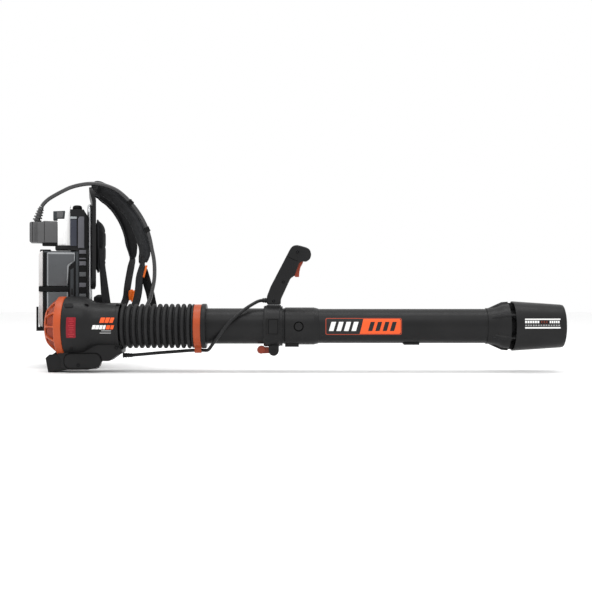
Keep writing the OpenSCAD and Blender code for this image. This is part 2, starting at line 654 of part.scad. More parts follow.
// power cord: relief, over the near shoulder strap, down behind the bellows, back to the inlet
cord_pack = [
    [-155.4, -61, 95.2], [-149, -62, 104], [-138, -64, 114], [-124, -66, 123], [-104, -70, 134],
        [-84, -78, 143],
    [-60, -88, 149], [-34, -99.5, 152.5], [-8, -106, 151.5], [14, -106, 147], [34, -105.6, 138],
        [52, -106.2, 124],
    [68.4, -107.3, 107.4], [85, -107.6, 87], [99, -109, 62], [110, -110.5, 38], [119, -113, 12], [124, -114.5, -12],
    [127.5, -115, -36], [128, -115.5, -62], [124.5, -117, -90], [117, -119, -116], [108, -121, -142]
];
function to_row(p) = [p[0] * cos(pack_yaw) - p[1] * sin(pack_yaw), p[0] * sin(pack_yaw) + p[1] * cos(pack_yaw),
    p[2]];
cord_row = [for (p = cord_pack) to_row(p)];
cord_blower = [
    [116, -110, -176], [105, -121, -205], [92, -136, -233], [79, -153, -256], [60, -171, -268],
        [49, -184, -269],
    [47, -193, -269], [47, -202, -269]
];
module power_cord() color(black) cord(curve(concat(cord_row, cord_blower), 2), cord_d / 2);

module cord_clip(at, turn) translate(at) rotate([0, turn, 0]) difference() {
    translate([-6.3, -6.3, -6.5]) cube([12.3, 12.2, 13]);
    cylinder(r = cord_d / 2 + 0.5, h = 20, center = true, $fn = 32);
}
module cord_clips() color(black) pack() {
    cord_clip([68.4, -107.3, 107.4], 138.3);
    cord_clip([110, -110.5, 38], 155.3);
}

pack_frame();
base_bracket();
back_plate();
back_pad();
lumbar_pad();
strap_near();
strap_far();
webbing_near();
webbing_far();
waist_strap();
strap_buckles();
cord_clips();
hub_chassis();
hub_top();
power_socket();
power_plug();
plug_relief();
power_cord();
hub_button();
plug_latch();
battery_upper_case();
battery_upper_cap();
battery_upper_cells();
battery_lower_case();
battery_lower_cap();
battery_lower_cells();
housing_near();
housing_far();
intake_cage();
stator_vanes();
motor_stator();
motor_bearings();
controller_box();
controller_cover();
controller_board();
mount_bracket();
mount_arm();
housing_screws();
motor_shaft();
fan_impeller();
bellows_rear();
bellows_ring();
bellows_front();
swivel_band();
rear_tube();
front_tube();
nozzle_cone();
nozzle_sleeve();
tube_button();
handle_clamp();
handle_near();
handle_far();
handle_screws();
trigger_switch();
trigger();
clamp_lever();
lever_pin();
cable_rear();
cable_mid();
cable_front();
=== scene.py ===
import json
import math

import bmesh
import bpy
from mathutils import Matrix, Vector
from mathutils.bvhtree import BVHTree


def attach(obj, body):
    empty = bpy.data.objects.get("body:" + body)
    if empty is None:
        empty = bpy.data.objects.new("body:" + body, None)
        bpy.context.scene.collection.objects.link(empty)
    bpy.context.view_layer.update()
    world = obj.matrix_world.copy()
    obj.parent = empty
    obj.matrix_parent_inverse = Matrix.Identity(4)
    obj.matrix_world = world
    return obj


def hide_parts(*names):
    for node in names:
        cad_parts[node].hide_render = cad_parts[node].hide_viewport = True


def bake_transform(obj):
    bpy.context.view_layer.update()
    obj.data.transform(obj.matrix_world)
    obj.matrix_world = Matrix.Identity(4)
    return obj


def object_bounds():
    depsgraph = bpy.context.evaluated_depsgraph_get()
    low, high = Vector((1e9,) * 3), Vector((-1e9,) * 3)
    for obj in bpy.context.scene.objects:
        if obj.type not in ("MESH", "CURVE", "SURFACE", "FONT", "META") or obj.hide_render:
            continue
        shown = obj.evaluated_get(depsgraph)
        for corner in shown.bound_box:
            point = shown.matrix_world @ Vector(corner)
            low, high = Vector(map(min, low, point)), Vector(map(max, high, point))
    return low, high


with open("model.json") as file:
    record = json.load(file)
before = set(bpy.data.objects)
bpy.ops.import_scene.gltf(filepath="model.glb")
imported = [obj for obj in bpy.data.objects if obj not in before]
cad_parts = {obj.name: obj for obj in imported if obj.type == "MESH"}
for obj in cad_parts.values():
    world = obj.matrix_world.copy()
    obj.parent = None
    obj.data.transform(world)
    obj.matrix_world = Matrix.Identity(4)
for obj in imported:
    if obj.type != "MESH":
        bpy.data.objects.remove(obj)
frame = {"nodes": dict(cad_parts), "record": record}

cad_low, cad_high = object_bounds()
D = bpy.data
scene = bpy.context.scene
YAW = math.radians(11)


# ---------- places: the blower's own millimetres and the backpack's own millimetres, to the row's metres ----------

def B(x, y, z):
    return Vector((x - 93, y - 225, z - 203)) / 1000


def P(u, v, z):
    return Vector((u * math.cos(YAW) - v * math.sin(YAW), u * math.sin(YAW) + v * math.cos(YAW), z)) / 1000


# ---------- camera, floor and light ----------

camera = D.objects.new("camera", D.cameras.new("camera"))
scene.collection.objects.link(camera)
camera.location = (0.5022, -2.745, -0.131)
camera.rotation_euler = (math.radians(90), 0, 0)
camera.data.sensor_width = 36
camera.data.lens = 63.85
scene.camera = camera
scene.view_settings.view_transform = "Standard"

world = D.worlds.new("studio")
scene.world = world
world.use_nodes = True
world.node_tree.nodes["Background"].inputs["Color"].default_value = (1, 1, 1, 1)
world.node_tree.nodes["Background"].inputs["Strength"].default_value = 1.0


def area_light(name, at, to, size, power):
    data = D.lights.new(name, "AREA")
    data.shape = "RECTANGLE"
    data.size, data.size_y = size
    data.energy = power
    lamp = D.objects.new(name, data)
    scene.collection.objects.link(lamp)
    lamp.location = at
    lamp.rotation_euler = (Vector(to) - Vector(at)).to_track_quat("-Z", "Y").to_euler()


area_light("key", (0.3, -2.2, 2.6), (0.4, -0.1, -0.1), (2.6, 1.0), 26)
area_light("top", (0.5, -0.2, 2.4), (0.5, -0.15, 0), (3.2, 0.8), 36)
area_light("rim", (-1.9, -0.9, 0.9), (0, -0.15, -0.1), (1.0, 1.6), 7)


# ---------- materials ----------

class Graph:
    """A material's nodes, with short calls for the few kinds that are used."""

    def __init__(self, name, **sockets):
        self.material = D.materials.new(name)
        self.material.use_nodes = True
        self.tree = self.material.node_tree
        self.shader = self.tree.nodes["Principled BSDF"]
        for socket, value in sockets.items():
            self.shader.inputs[socket.replace("_", " ")].default_value = value
        self.place = self.node("ShaderNodeTexCoord").outputs["Object"]

    def node(self, kind, ins=None, **settings):
        made = self.tree.nodes.new(kind)
        for key, value in settings.items():
            setattr(made, key, value)
        for key, value in (ins or {}).items():
            if isinstance(value, bpy.types.NodeSocket):
                self.tree.links.new(value, made.inputs[key])
            else:
                made.inputs[key].default_value = value
        return made

    def noise(self, scale, detail=3.0, rough=0.5, place=None):
        made = self.node("ShaderNodeTexNoise", {"Vector": place or self.place, "Scale": scale, "Detail": detail,
            "Roughness": rough})
        return made.outputs["Fac"]

    def math(self, kind, a, b=0.0, clamp=False):
        return self.node("ShaderNodeMath", {0: a, 1: b}, operation=kind, use_clamp=clamp).outputs[0]

    def range(self, value, low, high, to_low=0.0, to_high=1.0):
        return self.node("ShaderNodeMapRange", {"Value": value, "From Min": low, "From Max": high, "To Min": to_low,
            "To Max": to_high}).outputs[0]

    def mix(self, factor, a, b):
        made = self.node("ShaderNodeMix", {"Factor": factor}, data_type="RGBA")
        for key, value in ((6, a), (7, b)):
            if isinstance(value, bpy.types.NodeSocket):
                self.tree.links.new(value, made.inputs[key])
            else:
                made.inputs[key].default_value = (*value, 1)
        return made.outputs[2]

    def bump(self, height, strength, distance, normal=None):
        ins = {"Height": height, "Strength": strength, "Distance": distance}
        if normal:
            ins["Normal"] = normal
        return self.node("ShaderNodeBump", ins).outputs["Normal"]

    def set(self, **links):
        for socket, value in links.items():
            self.tree.links.new(value, self.shader.inputs[socket.replace("_", " ")])
        return self.material


def edge_of(g, radius):
    """The rounded normal of a bevelled edge, and how much of an edge a point is on."""
    rounded = g.node("ShaderNodeBevel", {"Radius": radius}, samples=6).outputs["Normal"]
    flat = g.node("ShaderNodeNewGeometry").outputs["Normal"]
    dot = g.node("ShaderNodeVectorMath", {0: rounded, 1: flat}, operation="DOT_PRODUCT").outputs["Value"]
    return rounded, g.range(dot, 0.985, 0.86)


def plastic(name, colour, rough=0.5, grain=0.35, wear=0.35, edge=0.0012, pale=None, gloss=0.3):
    """Moulded plastic: spark-eroded grain, soft variation, edges rubbed a little paler."""
    g = Graph(name, Roughness=rough, Specular_IOR_Level=gloss)
    rounded, on_edge = edge_of(g, edge)
    cloud = g.range(g.noise(9, 4, 0.55), 0.35, 0.68)
    darker = tuple(c * 0.86 for c in colour)
    lighter = tuple(min(1, c * 1.14 + 0.001) for c in colour)
    base = g.mix(cloud, darker, lighter)
    scuff = g.math("MULTIPLY", on_edge, g.range(g.noise(160, 5, 0.7), 0.42, 0.62), True)
    worn = pale or tuple(min(1, c * 1.9 + 0.012) for c in colour)
    base = g.mix(g.math("MULTIPLY", scuff, wear), base, worn)
    speck = g.range(g.noise(900, 2, 0.6), 0.3, 0.7, rough - 0.07, rough + 0.09)
    streak = g.range(g.noise(30, 6, 0.65), 0.35, 0.75, -0.05, 0.06)
    roughness = g.math("ADD", speck, streak, True)
    grains = g.noise(2600, 2, 0.5)
    normal = g.bump(grains, grain, 0.0002, rounded)
    return g.set(Base_Color=base, Roughness=roughness, Normal=normal)


def rubber(name, colour, rough=0.6, gloss=0.28):
    """Rubber: matte, with a dusty bloom in patches and a faint orange-peel skin."""
    g = Graph(name, Roughness=rough, Specular_IOR_Level=gloss)
    rounded, _ = edge_of(g, 0.0008)
    bloom = g.range(g.noise(22, 6, 0.65), 0.48, 0.74)
    base = g.mix(g.math("MULTIPLY", bloom, 0.4), colour, tuple(c * 1.7 + 0.008 for c in colour))
    roughness = g.range(g.noise(240, 4, 0.6), 0.3, 0.7, rough - 0.09, rough + 0.12)
    normal = g.bump(g.noise(700, 3, 0.55), 0.25, 0.0003, rounded)
    return g.set(Base_Color=base, Roughness=roughness, Normal=normal)


def metal(name, colour, rough=0.3, along=(0, 0, 1)):
    """Metal with drawn lines along one direction and small marks."""
    g = Graph(name, Roughness=rough, Metallic=1.0)
    rounded, _ = edge_of(g, 0.0006)
    squeeze = tuple(0.03 if a else 1.0 for a in along)
    drawn = g.node("ShaderNodeMapping", {"Vector": g.place, "Scale": squeeze}).outputs[0]
    lines = g.noise(2200, 3, 0.6, drawn)
    base = g.mix(g.range(g.noise(18, 5, 0.6), 0.35, 0.7), tuple(c * 0.84 for c in colour), colour)
    roughness = g.math("ADD", g.range(lines, 0.3, 0.7, rough - 0.07, rough + 0.08),
        g.range(g.noise(60, 5), 0.4, 0.75, 0, 0.12), True)
    return g.set(Base_Color=base, Roughness=roughness, Normal=g.bump(lines, 0.12, 0.0002, rounded))


def mesh_fabric(name, colour, pitch=0.0024, hole_shade=None, sheen=0.06):
    """Spacer mesh: hexagon-like open cells over foam, the cells painted darker than the yarn as painted shade, with
    thread fuzz and sheen.
    """
    g = Graph(name, Roughness=0.9, Specular_IOR_Level=2.5 * sheen, Sheen_Weight=sheen, Sheen_Roughness=0.5)
    cells = g.node("ShaderNodeTexVoronoi", {"Vector": g.place, "Scale": 1 / pitch, "Randomness": 0.25}, feature="F1")
    hole = g.range(cells.outputs["Distance"], 0.22, 0.42)
    thread = g.noise(5200, 2, 0.5)
    tone = g.range(g.noise(14, 4, 0.6), 0.35, 0.7)
    yarn = g.mix(tone, tuple(c * 0.8 for c in colour), tuple(c * 1.3 + 0.002 for c in colour))
    # painted shade: the open cells darker than the yarn around them
    base = g.mix(hole, hole_shade or tuple(c * 0.35 for c in colour), yarn)
    height = g.math("ADD", hole, g.math("MULTIPLY", thread, 0.35))
    soft = g.bump(g.noise(70, 3, 0.5), 0.3, 0.0012)
    return g.set(Base_Color=base, Normal=g.bump(height, 0.6, 0.0005, soft))


def woven(name, colour, across=0.0016, along=0.0011):
    """Webbing: a twill of warp ribs crossed by weft, from the strip's own width and length, painted darker where it is
    low and paler where it is high: painted shade and highlight.
    """
    g = Graph(name, Roughness=0.72, Specular_IOR_Level=0.2, Sheen_Weight=0.05, Sheen_Roughness=0.4)
    strip = g.node("ShaderNodeUVMap", uv_map="strip").outputs[0]
    split = g.node("ShaderNodeSeparateXYZ", {0: strip})
    x, y = split.outputs[0], split.outputs[1]
    rib = g.math("SINE", g.math("MULTIPLY", x, math.tau / across))
    shift = g.math("MULTIPLY", g.math("FLOOR", g.math("MULTIPLY", x, 2 / across)), 0.35)
    pick = g.math("SINE", g.math("MULTIPLY", g.math("ADD", g.math("DIVIDE", y, along), shift), math.tau))
    height = g.math("ADD", g.math("MULTIPLY", rib, 0.5), g.math("MULTIPLY", pick, 0.5))
    fray = g.noise(900, 3, 0.6)
    # painted shade and highlight: the weave's low threads darker, its high threads paler
    tone = g.mix(g.range(height, -0.9, 0.9), tuple(c * 0.45 for c in colour), tuple(c * 1.5 + 0.004 for c in colour))
    base = g.mix(g.range(fray, 0.55, 0.8, 0, 0.35), tone, tuple(c * 2.2 + 0.01 for c in colour))
    return g.set(Base_Color=base, Normal=g.bump(height, 0.5, 0.0004))


def printed(name, colour, rough=0.35):
    """Printed ink or a label film: a thin even film, slightly broken up where the grain shows through."""
    g = Graph(name, Roughness=rough, Specular_IOR_Level=0.2)
    pit = g.range(g.noise(1500, 3, 0.6), 0.66, 0.78)
    base = g.mix(g.math("MULTIPLY", pit, 0.5), colour, tuple(c * 0.7 for c in colour))
    tint = g.mix(g.range(g.noise(25, 3), 0.3, 0.7, 0, 0.16), base, tuple(c * 0.82 for c in colour))
    return g.set(Base_Color=tint, Normal=g.bump(g.noise(1800, 2), 0.12, 0.0002))


def shade_and_lens_black(name, colour):
    """Painted shade for deep recesses, gaps and grooves, and the charge lights' own dark lenses: nearly black, rough
    and dusty.
    """
    g = Graph(name, Roughness=0.9, Specular_IOR_Level=0.05)
    base = g.mix(g.range(g.noise(120, 4), 0.4, 0.8), colour, tuple(c * 2.0 + 0.002 for c in colour))
    return g.set(Base_Color=base, Normal=g.bump(g.noise(900, 2), 0.2, 0.0003))


def floor_paint():
    g = Graph("floor_paint", Roughness=0.85)
    return g.set(Base_Color=g.mix(g.noise(3, 3), (0.94, 0.94, 0.94), (0.96, 0.96, 0.96)))


CHARCOAL = plastic("charcoal_plastic", (0.0098, 0.0098, 0.0102), 0.40, gloss=0.17)
SOFT_BLACK = plastic("black_plastic", (0.005, 0.005, 0.0054), 0.48, gloss=0.12)
# near-black painted shade for recesses, gaps and grooves; the charge lights take it as their own dark lenses
SHADE_LENS_BLACK = shade_and_lens_black("recess_shade_and_lens_black", (0.0012, 0.0012, 0.0012))
ORANGE = plastic("orange_plastic", (0.40, 0.062, 0.0135), 0.38, wear=0.25, pale=(0.75, 0.24, 0.11))
# darker orange; also painted shade on the intake's louvres behind the fins
BURNT = plastic("burnt_orange_plastic", (0.25, 0.034, 0.012), 0.42, wear=0.25, pale=(0.42, 0.11, 0.06))
BUCKLE = plastic("buckle_plastic", (0.78, 0.15, 0.012), 0.35, wear=0.2, pale=(0.85, 0.35, 0.16))
GREY = plastic("grey_plastic", (0.067, 0.071, 0.076), 0.36, gloss=0.4)
GREY_PANEL = plastic("panel_edge_plastic", (0.26, 0.27, 0.28), 0.34, gloss=0.5)
GREY_DARK = plastic("dark_grey_plastic", (0.026, 0.030, 0.034), 0.4)
GREY_PALE = plastic("pale_grey_plastic", (0.30, 0.32, 0.33), 0.4)
PLUG_GREY = plastic("plug_plastic", (0.092, 0.092, 0.094), 0.45)
BLUE_GREY = plastic("blue_grey_plastic", (0.030, 0.033, 0.048), 0.34)
PURPLE_GREY = plastic("violet_grey_plastic", (0.100, 0.100, 0.114), 0.34)
WHITE = plastic("white_plastic", (0.88, 0.88, 0.88), 0.4, wear=0.1, pale=(0.7, 0.7, 0.7))
SILVER = plastic("silver_plastic", (0.58, 0.57, 0.565), 0.3, wear=0.2, pale=(0.7, 0.7, 0.7))
RED = printed("red_label", (0.225, 0.008, 0.016), 0.34)
RED_PALE = printed("red_label_pale", (0.35, 0.025, 0.033), 0.34)
WHITE_INK = printed("white_ink", (0.80, 0.80, 0.79), 0.4)
GREY_INK = printed("grey_ink", (0.33, 0.33, 0.33), 0.4)
ORANGE_INK = printed("orange_ink", (0.80, 0.105, 0.024), 0.4)
FRAME_INK = printed("frame_ink", (0.36, 0.050, 0.022), 0.4)
DARK_INK = printed("dark_ink", (0.016, 0.016, 0.0165), 0.5)
RUBBER = rubber("rubber", (0.0105, 0.0105, 0.011), gloss=0.22)
CABLE = rubber("cable_rubber", (0.007, 0.007, 0.0075), 0.42)
CORD = rubber("cord_rubber", (0.024, 0.024, 0.025), 0.26, 0.6)
ALUMINIUM = metal("frame_aluminium", (0.62, 0.63, 0.64), 0.34)
STEEL = metal("steel", (0.5, 0.5, 0.51), 0.28, (1, 0, 0))
DARK_STEEL = metal("dark_steel", (0.03, 0.03, 0.032), 0.4, (1, 0, 0))
COPPER = metal("copper_wire", (0.72, 0.33, 0.16), 0.35)
CELL = plastic("cell_sleeve", (0.05, 0.17, 0.36), 0.3)
BOARD = plastic("board", (0.012, 0.10, 0.04), 0.35)
PAD_MESH = mesh_fabric("pad_mesh", (0.010, 0.010, 0.011))
STRAP_MESH = mesh_fabric("strap_mesh", (0.027, 0.028, 0.030), 0.0019)
# a much darker copy of the strap mesh for the far strap: painted shade on the far side
STRAP_MESH_SHADED = mesh_fabric("strap_mesh_painted_shade", (0.0055, 0.0055, 0.006), 0.0019, sheen=0.015)
# its last colour is painted shade inside the mesh's holes
STRAP_SHELL = mesh_fabric("strap_shell", (0.020, 0.021, 0.023), 0.0012, (0.010, 0.010, 0.011))
WEBBING = woven("webbing", (0.010, 0.010, 0.011))
# a darker copy of the webbing; on the far strap's webbing its darkness is painted shade
WEBBING_DARK = woven("dark_webbing", (0.0045, 0.0045, 0.005))
WEBBING_GREY = woven("grey_webbing", (0.028, 0.029, 0.031))
THREAD = rubber("thread", (0.045, 0.045, 0.048), 0.7)


# ---------- shapes ----------

def crease(mesh, degrees):
    """Smooth shading with sharp edges where faces meet at more than this angle."""
    bm = bmesh.new()
    bm.from_mesh(mesh)
    bmesh.ops.recalc_face_normals(bm, faces=bm.faces)
    limit = math.radians(degrees)
    for face in bm.faces:
        face.smooth = True
    for edge in bm.edges:
        edge.smooth = len(edge.link_faces) == 2 and edge.calc_face_angle(0) < limit
    bm.to_mesh(mesh)
    bm.free()


def shown(name, mesh, material, sharp):
    """An object for a mesh, with its creases and its material."""
    crease(mesh, sharp)
    mesh.materials.append(material)
    obj = D.objects.new(name, mesh)
    scene.collection.objects.link(obj)
    return obj


def from_bmesh(name, bm, material, sharp):
    """An object from a bmesh, which is freed."""
    mesh = D.meshes.new(name)
    bm.to_mesh(mesh)
    bm.free()
    return shown(name, mesh, material, sharp)


def make(name, verts, faces, material, sharp=40):
    mesh = D.meshes.new(name)
    mesh.from_pydata([tuple(v) for v in verts], [], faces)
    mesh.validate()
    return shown(name, mesh, material, sharp)


def around(count):
    """The cosine and sine of each of this many equal steps of a full turn."""
    return [(math.cos(math.tau * k / count), math.sin(math.tau * k / count)) for k in range(count)]


def skin(rings, n, closed=True):
    """The faces between rings of n points: a closed loop of rings, or an open run of them with capped ends."""
    faces = [(k * n + i, k * n + (i + 1) % n, (k + 1) % rings * n + (i + 1) % n, (k + 1) % rings * n + i)
        for k in range(rings if closed else rings - 1) for i in range(n)]
    if not closed:
        faces += [tuple(range(n))[::-1], tuple((rings - 1) * n + k for k in range(n))]
    return faces


def soften(bm, edges, offset, segments):
    """Rounds these edges."""
    bmesh.ops.bevel(bm, geom=edges, offset=offset, segments=segments, profile=0.5, affect="EDGES", clamp_overlap=True)


def rect(left, right, first, second):
    """A rectangle's corners, from its first height to its second."""
    return [(left, first), (right, first), (right, second), (left, second)]


def put(obj, body, slot, *nodes):
    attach(obj, body)
    if nodes:
        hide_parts(*nodes)
    return obj


def lathe(name, profile, material, sides=128, sharp=40):
    """A closed profile of (station, radius) points turned about the blower's axis."""
    verts = [B(s, r * cos, r * sin) for cos, sin in around(sides) for s, r in profile]
    return make(name, verts, skin(sides, len(profile)), material, sharp)


def prism(name, outline, low, high, place, material, bevel=0.8, steps=3, corner=None):
    """An outline in (first, third) coordinates with thickness along the second, its edges rounded."""
    bm = bmesh.new()
    front, back = [[bm.verts.new(place(a, side, c)) for a, c in outline] for side in (low, high)]
    n = len(outline)
    bm.faces.new(front)
    bm.faces.new(back[::-1])
    for i in range(n):
        bm.faces.new((front[i], back[i], back[(i + 1) % n], front[(i + 1) % n]))
    bm.edges.ensure_lookup_table()
    if corner:
        soften(bm, [e for e in bm.edges if (e.verts[0] in front) != (e.verts[1] in front)], corner / 1000, 4)
    if bevel:
        axis = (place(0, 1, 0) - place(0, 0, 0)).normalized()
        (a, c), flat = outline[0], 1e-6
        ends = [{v for v in bm.verts if abs((v.co - place(a, side, c)).dot(axis)) < flat} for side in (low, high)]
        soften(bm, [e for e in bm.edges if any(set(e.verts) <= end for end in ends)], bevel / 1000, steps)
    return from_bmesh(name, bm, material, 35)


def curve_points(points, steps):
    """A smooth curve through the points, the same one that the CAD sweeps its cords along."""
    out = []
    for i in range(len(points) - 1):
        a, b = Vector(points[max(i - 1, 0)]), Vector(points[i])
        c, d = Vector(points[i + 1]), Vector(points[min(i + 2, len(points) - 1)])
        for k in range(steps):
            t = k / steps
            out.append(0.5 * (2 * b + (c - a) * t + (2 * a - 5 * b + 4 * c - d) * t * t
                + (3 * b - a - 3 * c + d) * t ** 3))
    return out + [Vector(points[-1])]


def sweep(name, path, radius, material, sides=16, sharp=60):
    """A closed round tube along a path in metres. The radius may be a list, one for each point."""
    n = len(path)
    radii = radius if isinstance(radius, list) else [radius] * n
    normal = None
    verts = []
    for i, p in enumerate(path):
        t = (path[min(i + 1, n - 1)] - path[max(i - 1, 0)]).normalized()
        if normal is None:
            normal = t.orthogonal().normalized()
        normal = (normal - t * normal.dot(t)).normalized()
        side = t.cross(normal)
        verts += [p + radii[i] * (cos * normal + sin * side) for cos, sin in around(sides)]
    return make(name, verts, skin(n, sides, False), material, sharp)


def strip(name, path, widths, thick, lean, material, crown=0.35, corners=20, sharp=50):
    """A band along a path in the backpack's millimetres: width across, thickness, and an oval-cornered section.
    Its UV map "strip" holds metres across and along."""
    n = len(path)
    rings, frames, run = [], [], 0.0
    for i in range(n):
        d = (path[min(i + 1, n - 1)] - path[max(i - 1, 0)]).normalized()
        up = Vector((0, 1, 0)).cross(d).normalized()
        a = d.cross(up).normalized()
        tilt = lean[i] if isinstance(lean, list) else lean
        across = math.cos(tilt) * a + math.sin(tilt) * up
        out = across.cross(d)
        if i:
            run += (path[i] - path[i - 1]).length / 1000
        w = widths[i] if isinstance(widths, list) else widths
        t = thick[i] if isinstance(thick, list) else thick
        ring = []
        for k in range(corners):
            q = math.tau * (k + 0.5) / corners
            cx, cy = math.cos(q), math.sin(q)
            x = math.copysign(abs(cx) ** crown, cx)
            y = math.copysign(abs(cy) ** crown, cy)
            ring.append((path[i] + across * x * w / 2 + out * y * t / 2, x * w / 2000, run))
        rings.append(ring)
        frames.append((path[i], across, out, w, t))
    verts = [P(*r[0]) for ring in rings for r in ring]
    obj = make(name, verts, skin(n, corners, False), material, sharp)
    layer = obj.data.uv_layers.new(name="strip")
    flat = [r[1:] for ring in rings for r in ring]
    for loop in obj.data.loops:
        layer.data[loop.index].uv = flat[loop.vertex_index]
    return obj, frames


# the camera in the blower's millimetres: its station, its height and its distance to the axis
EYE_S, EYE_Z, EYE_AWAY = 595.2, 72, 2520
PATCH_ROWS, PATCH_COLUMNS = 10, 3


def nearer(s, z, depth):
    """Where on a surface this far in front of the blower's axis a point lies that looks to be at (s, z) on the axis."""
    k = 1 - depth / EYE_AWAY
    return EYE_S + (s - EYE_S) * k, EYE_Z + (z - EYE_Z) * k


def patch(name, outline, radius, material, lift, body="pack", slot="charcoal_plastic"):
    """A thin printed patch on the blower's near side: an outline in (station, height), wrapped on radius(station)."""
    reach = radius if callable(radius) else lambda s: radius
    start = reach(outline[0][0])
    outline = [nearer(a, c, math.sqrt(max(start ** 2 - c * c, 0))) for a, c in outline]
    bm = bmesh.new()
    bm.faces.new([bm.verts.new((a, c, 0)) for a, c in outline])
    bmesh.ops.triangulate(bm, faces=bm.faces)
    (left, right), (low, high) = [(min(line), max(line)) for line in zip(*outline)]
    cuts = [((0, low + (high - low) * i / PATCH_ROWS, 0), (0, 1, 0)) for i in range(1, PATCH_ROWS)]
    cuts += [((left + (right - left) * i / PATCH_COLUMNS, 0, 0), (1, 0, 0)) for i in range(1, PATCH_COLUMNS)]
    for at, normal in cuts:
        bmesh.ops.bisect_plane(bm, geom=bm.verts[:] + bm.edges[:] + bm.faces[:], plane_co=at, plane_no=normal)
    bmesh.ops.dissolve_degenerate(bm, edges=bm.edges, dist=1e-4)
    top = bmesh.ops.extrude_face_region(bm, geom=bm.faces[:])["geom"]
    raised = {v for v in top if isinstance(v, bmesh.types.BMVert)}
    for v in bm.verts:
        s, z = v.co.x, v.co.y
        r = reach(s) + (lift if v in raised else -0.3)
        z = max(-r * 0.98, min(r * 0.98, z))
        v.co = B(s, -math.sqrt(r * r - z * z), z)
    return put(from_bmesh(name, bm, material, 50), body, slot)


def rounded_box(left, right, low, high, r, steps=6):
    """The outline of a rounded rectangle."""
    out = []
    for cx, cz, start in ((right - r, high - r, 0), (left + r, high - r, 90), (left + r, low + r, 180),
            (right - r, low + r, 270)):
        out += [(cx + r * math.cos(math.radians(start + 90 * k / steps)), cz
            + r * math.sin(math.radians(start + 90 * k / steps))) for k in range(steps + 1)]
    return out


def join(name, parts):
    """Joins meshes of one material set into the first."""
    with bpy.context.temp_override(active_object=parts[0], selected_editable_objects=parts, selected_objects=parts):
        bpy.ops.object.join()
    parts[0].name = name
    parts[0].data.name = name
    return parts[0]


def evaluated(obj):
    """Replaces the object's mesh by what its modifiers make of it."""
    graph = bpy.context.evaluated_depsgraph_get()
    mesh = D.meshes.new_from_object(obj.evaluated_get(graph))
    obj.modifiers.clear()
    obj.data = mesh
    return obj


def puffed(obj, voxel=0.005, pressure=4.0, most=0.008, frames=20):
    """Swells a closed form as padded fabric: voxel remesh, then cloth under pressure with no gravity, its travel
    capped, then one subdivision."""
    remesh = obj.modifiers.new("remesh", "REMESH")
    remesh.mode = "VOXEL"
    remesh.voxel_size = voxel
    evaluated(obj)
    cloth = obj.modifiers.new("cloth", "CLOTH")
    settings = {"quality": 5, "mass": 0.3, "tension_stiffness": 15, "compression_stiffness": 15,
        "shear_stiffness": 5, "bending_stiffness": 0.5, "use_pressure": True, "uniform_pressure_force": pressure}
    for key, value in settings.items():
        setattr(cloth.settings, key, value)
    cloth.settings.effector_weights.gravity = 0
    cloth.point_cache.frame_start = 1
    cloth.point_cache.frame_end = frames
    rest = [v.co.copy() for v in obj.data.vertices]
    for f in range(1, frames + 1):
        scene.frame_set(f)
    evaluated(obj)
    scene.frame_set(1)
    for v, r in zip(obj.data.vertices, rest):
        step = v.co - r
        if step.length > most:
            v.co = r + step * (most / step.length)
    smooth = obj.modifiers.new("smooth", "SUBSURF")
    smooth.levels = smooth.render_levels = 1
    evaluated(obj)
    for face in obj.data.polygons:
        face.use_smooth = True
    return obj


# ---------- soft pieces first, while the scene is small: back pad, lumbar pad, two shoulder straps ----------

def loft_pad(name, half, low, high, back, front, material, power=0.30):
    """A crowned pad: its front bulges towards the wearer, its sides pull in between the corners."""
    cols, rows = 26, 20
    grids = []
    for side in (0, 1):
        grid = []
        for j in range(rows + 1):
            for i in range(cols + 1):
                x, y = -1 + 2 * i / cols, -1 + 2 * j / rows
                pull = 1 - 0.035 * (1 - x * x) * abs(y) ** 3
                draw = 1 - 0.03 * (1 - y * y) * abs(x) ** 3
                v = half * x * draw * (1 - 0.06 * abs(y) ** 6)
                z = (low + high) / 2 + (high - low) / 2 * y * pull * (1 - 0.08 * abs(x) ** 6)
                edge = (1 - abs(x) ** 5) ** power * (1 - abs(y) ** 5) ** power if max(abs(x), abs(y)) < 1 else 0
                u = back(z) + 1.0 if side == 0 else back(z) + 1.2 + (front(z) - back(z) - 1.2) * max(edge, 0.02)
                grid.append((u, v, z))
        grids.append(grid)
    count = (cols + 1) * (rows + 1)
    verts = [P(*p) for g in grids for p in g]

    def at(side, i, j):
        return side * count + j * (cols + 1) + i

    faces = []
    for i in range(cols):
        for j in range(rows):
            faces.append((at(0, i, j), at(0, i, j + 1), at(0, i + 1, j + 1), at(0, i + 1, j)))
            faces.append((at(1, i, j), at(1, i + 1, j), at(1, i + 1, j + 1), at(1, i, j + 1)))
    rim = [(i, 0) for i in range(cols)] + [(cols, j) for j in range(rows)] + [(i, rows)
        for i in range(cols, 0, -1)] + [(0, j) for j in range(rows, 0, -1)]
    for k, (i, j) in enumerate(rim):
        i2, j2 = rim[(k + 1) % len(rim)]
        faces.append((at(0, i, j), at(0, i2, j2), at(1, i2, j2), at(1, i, j)))
    return make(name, verts, faces, material, 80)


def along(points, z):
    """The first coordinate at height z of a line of (u, z) points that rises in z."""
    for (u0, z0), (u1, z1) in zip(points, points[1:]):
        if z0 <= z <= z1:
            return u0 + (u1 - u0) * (z - z0) / (z1 - z0)
    return points[0][0] if z < points[0][1] else points[-1][0]


back_front = [(-17, -77), (-4, -66), (-1.5, -50), (-1.2, 30), (-4, 48), (-12, 62), (-17, 72)]
back_pad = loft_pad("back_cushion", 97, -75, 70, lambda z: -20.0, lambda z: along(back_front, z), PAD_MESH)
puffed(back_pad, 0.005, 4.0, 0.006)
lumbar_front = [(8, -151), (14, -146), (15.5, -140), (11, -134), (4, -130)]
lumbar_pad = loft_pad("lumbar_cushion", 97, -150.5, -130.5, lambda z: -27.0, lambda z: along(lumbar_front, z),
    PAD_MESH)
puffed(lumbar_pad, 0.005, 3.0, 0.004)

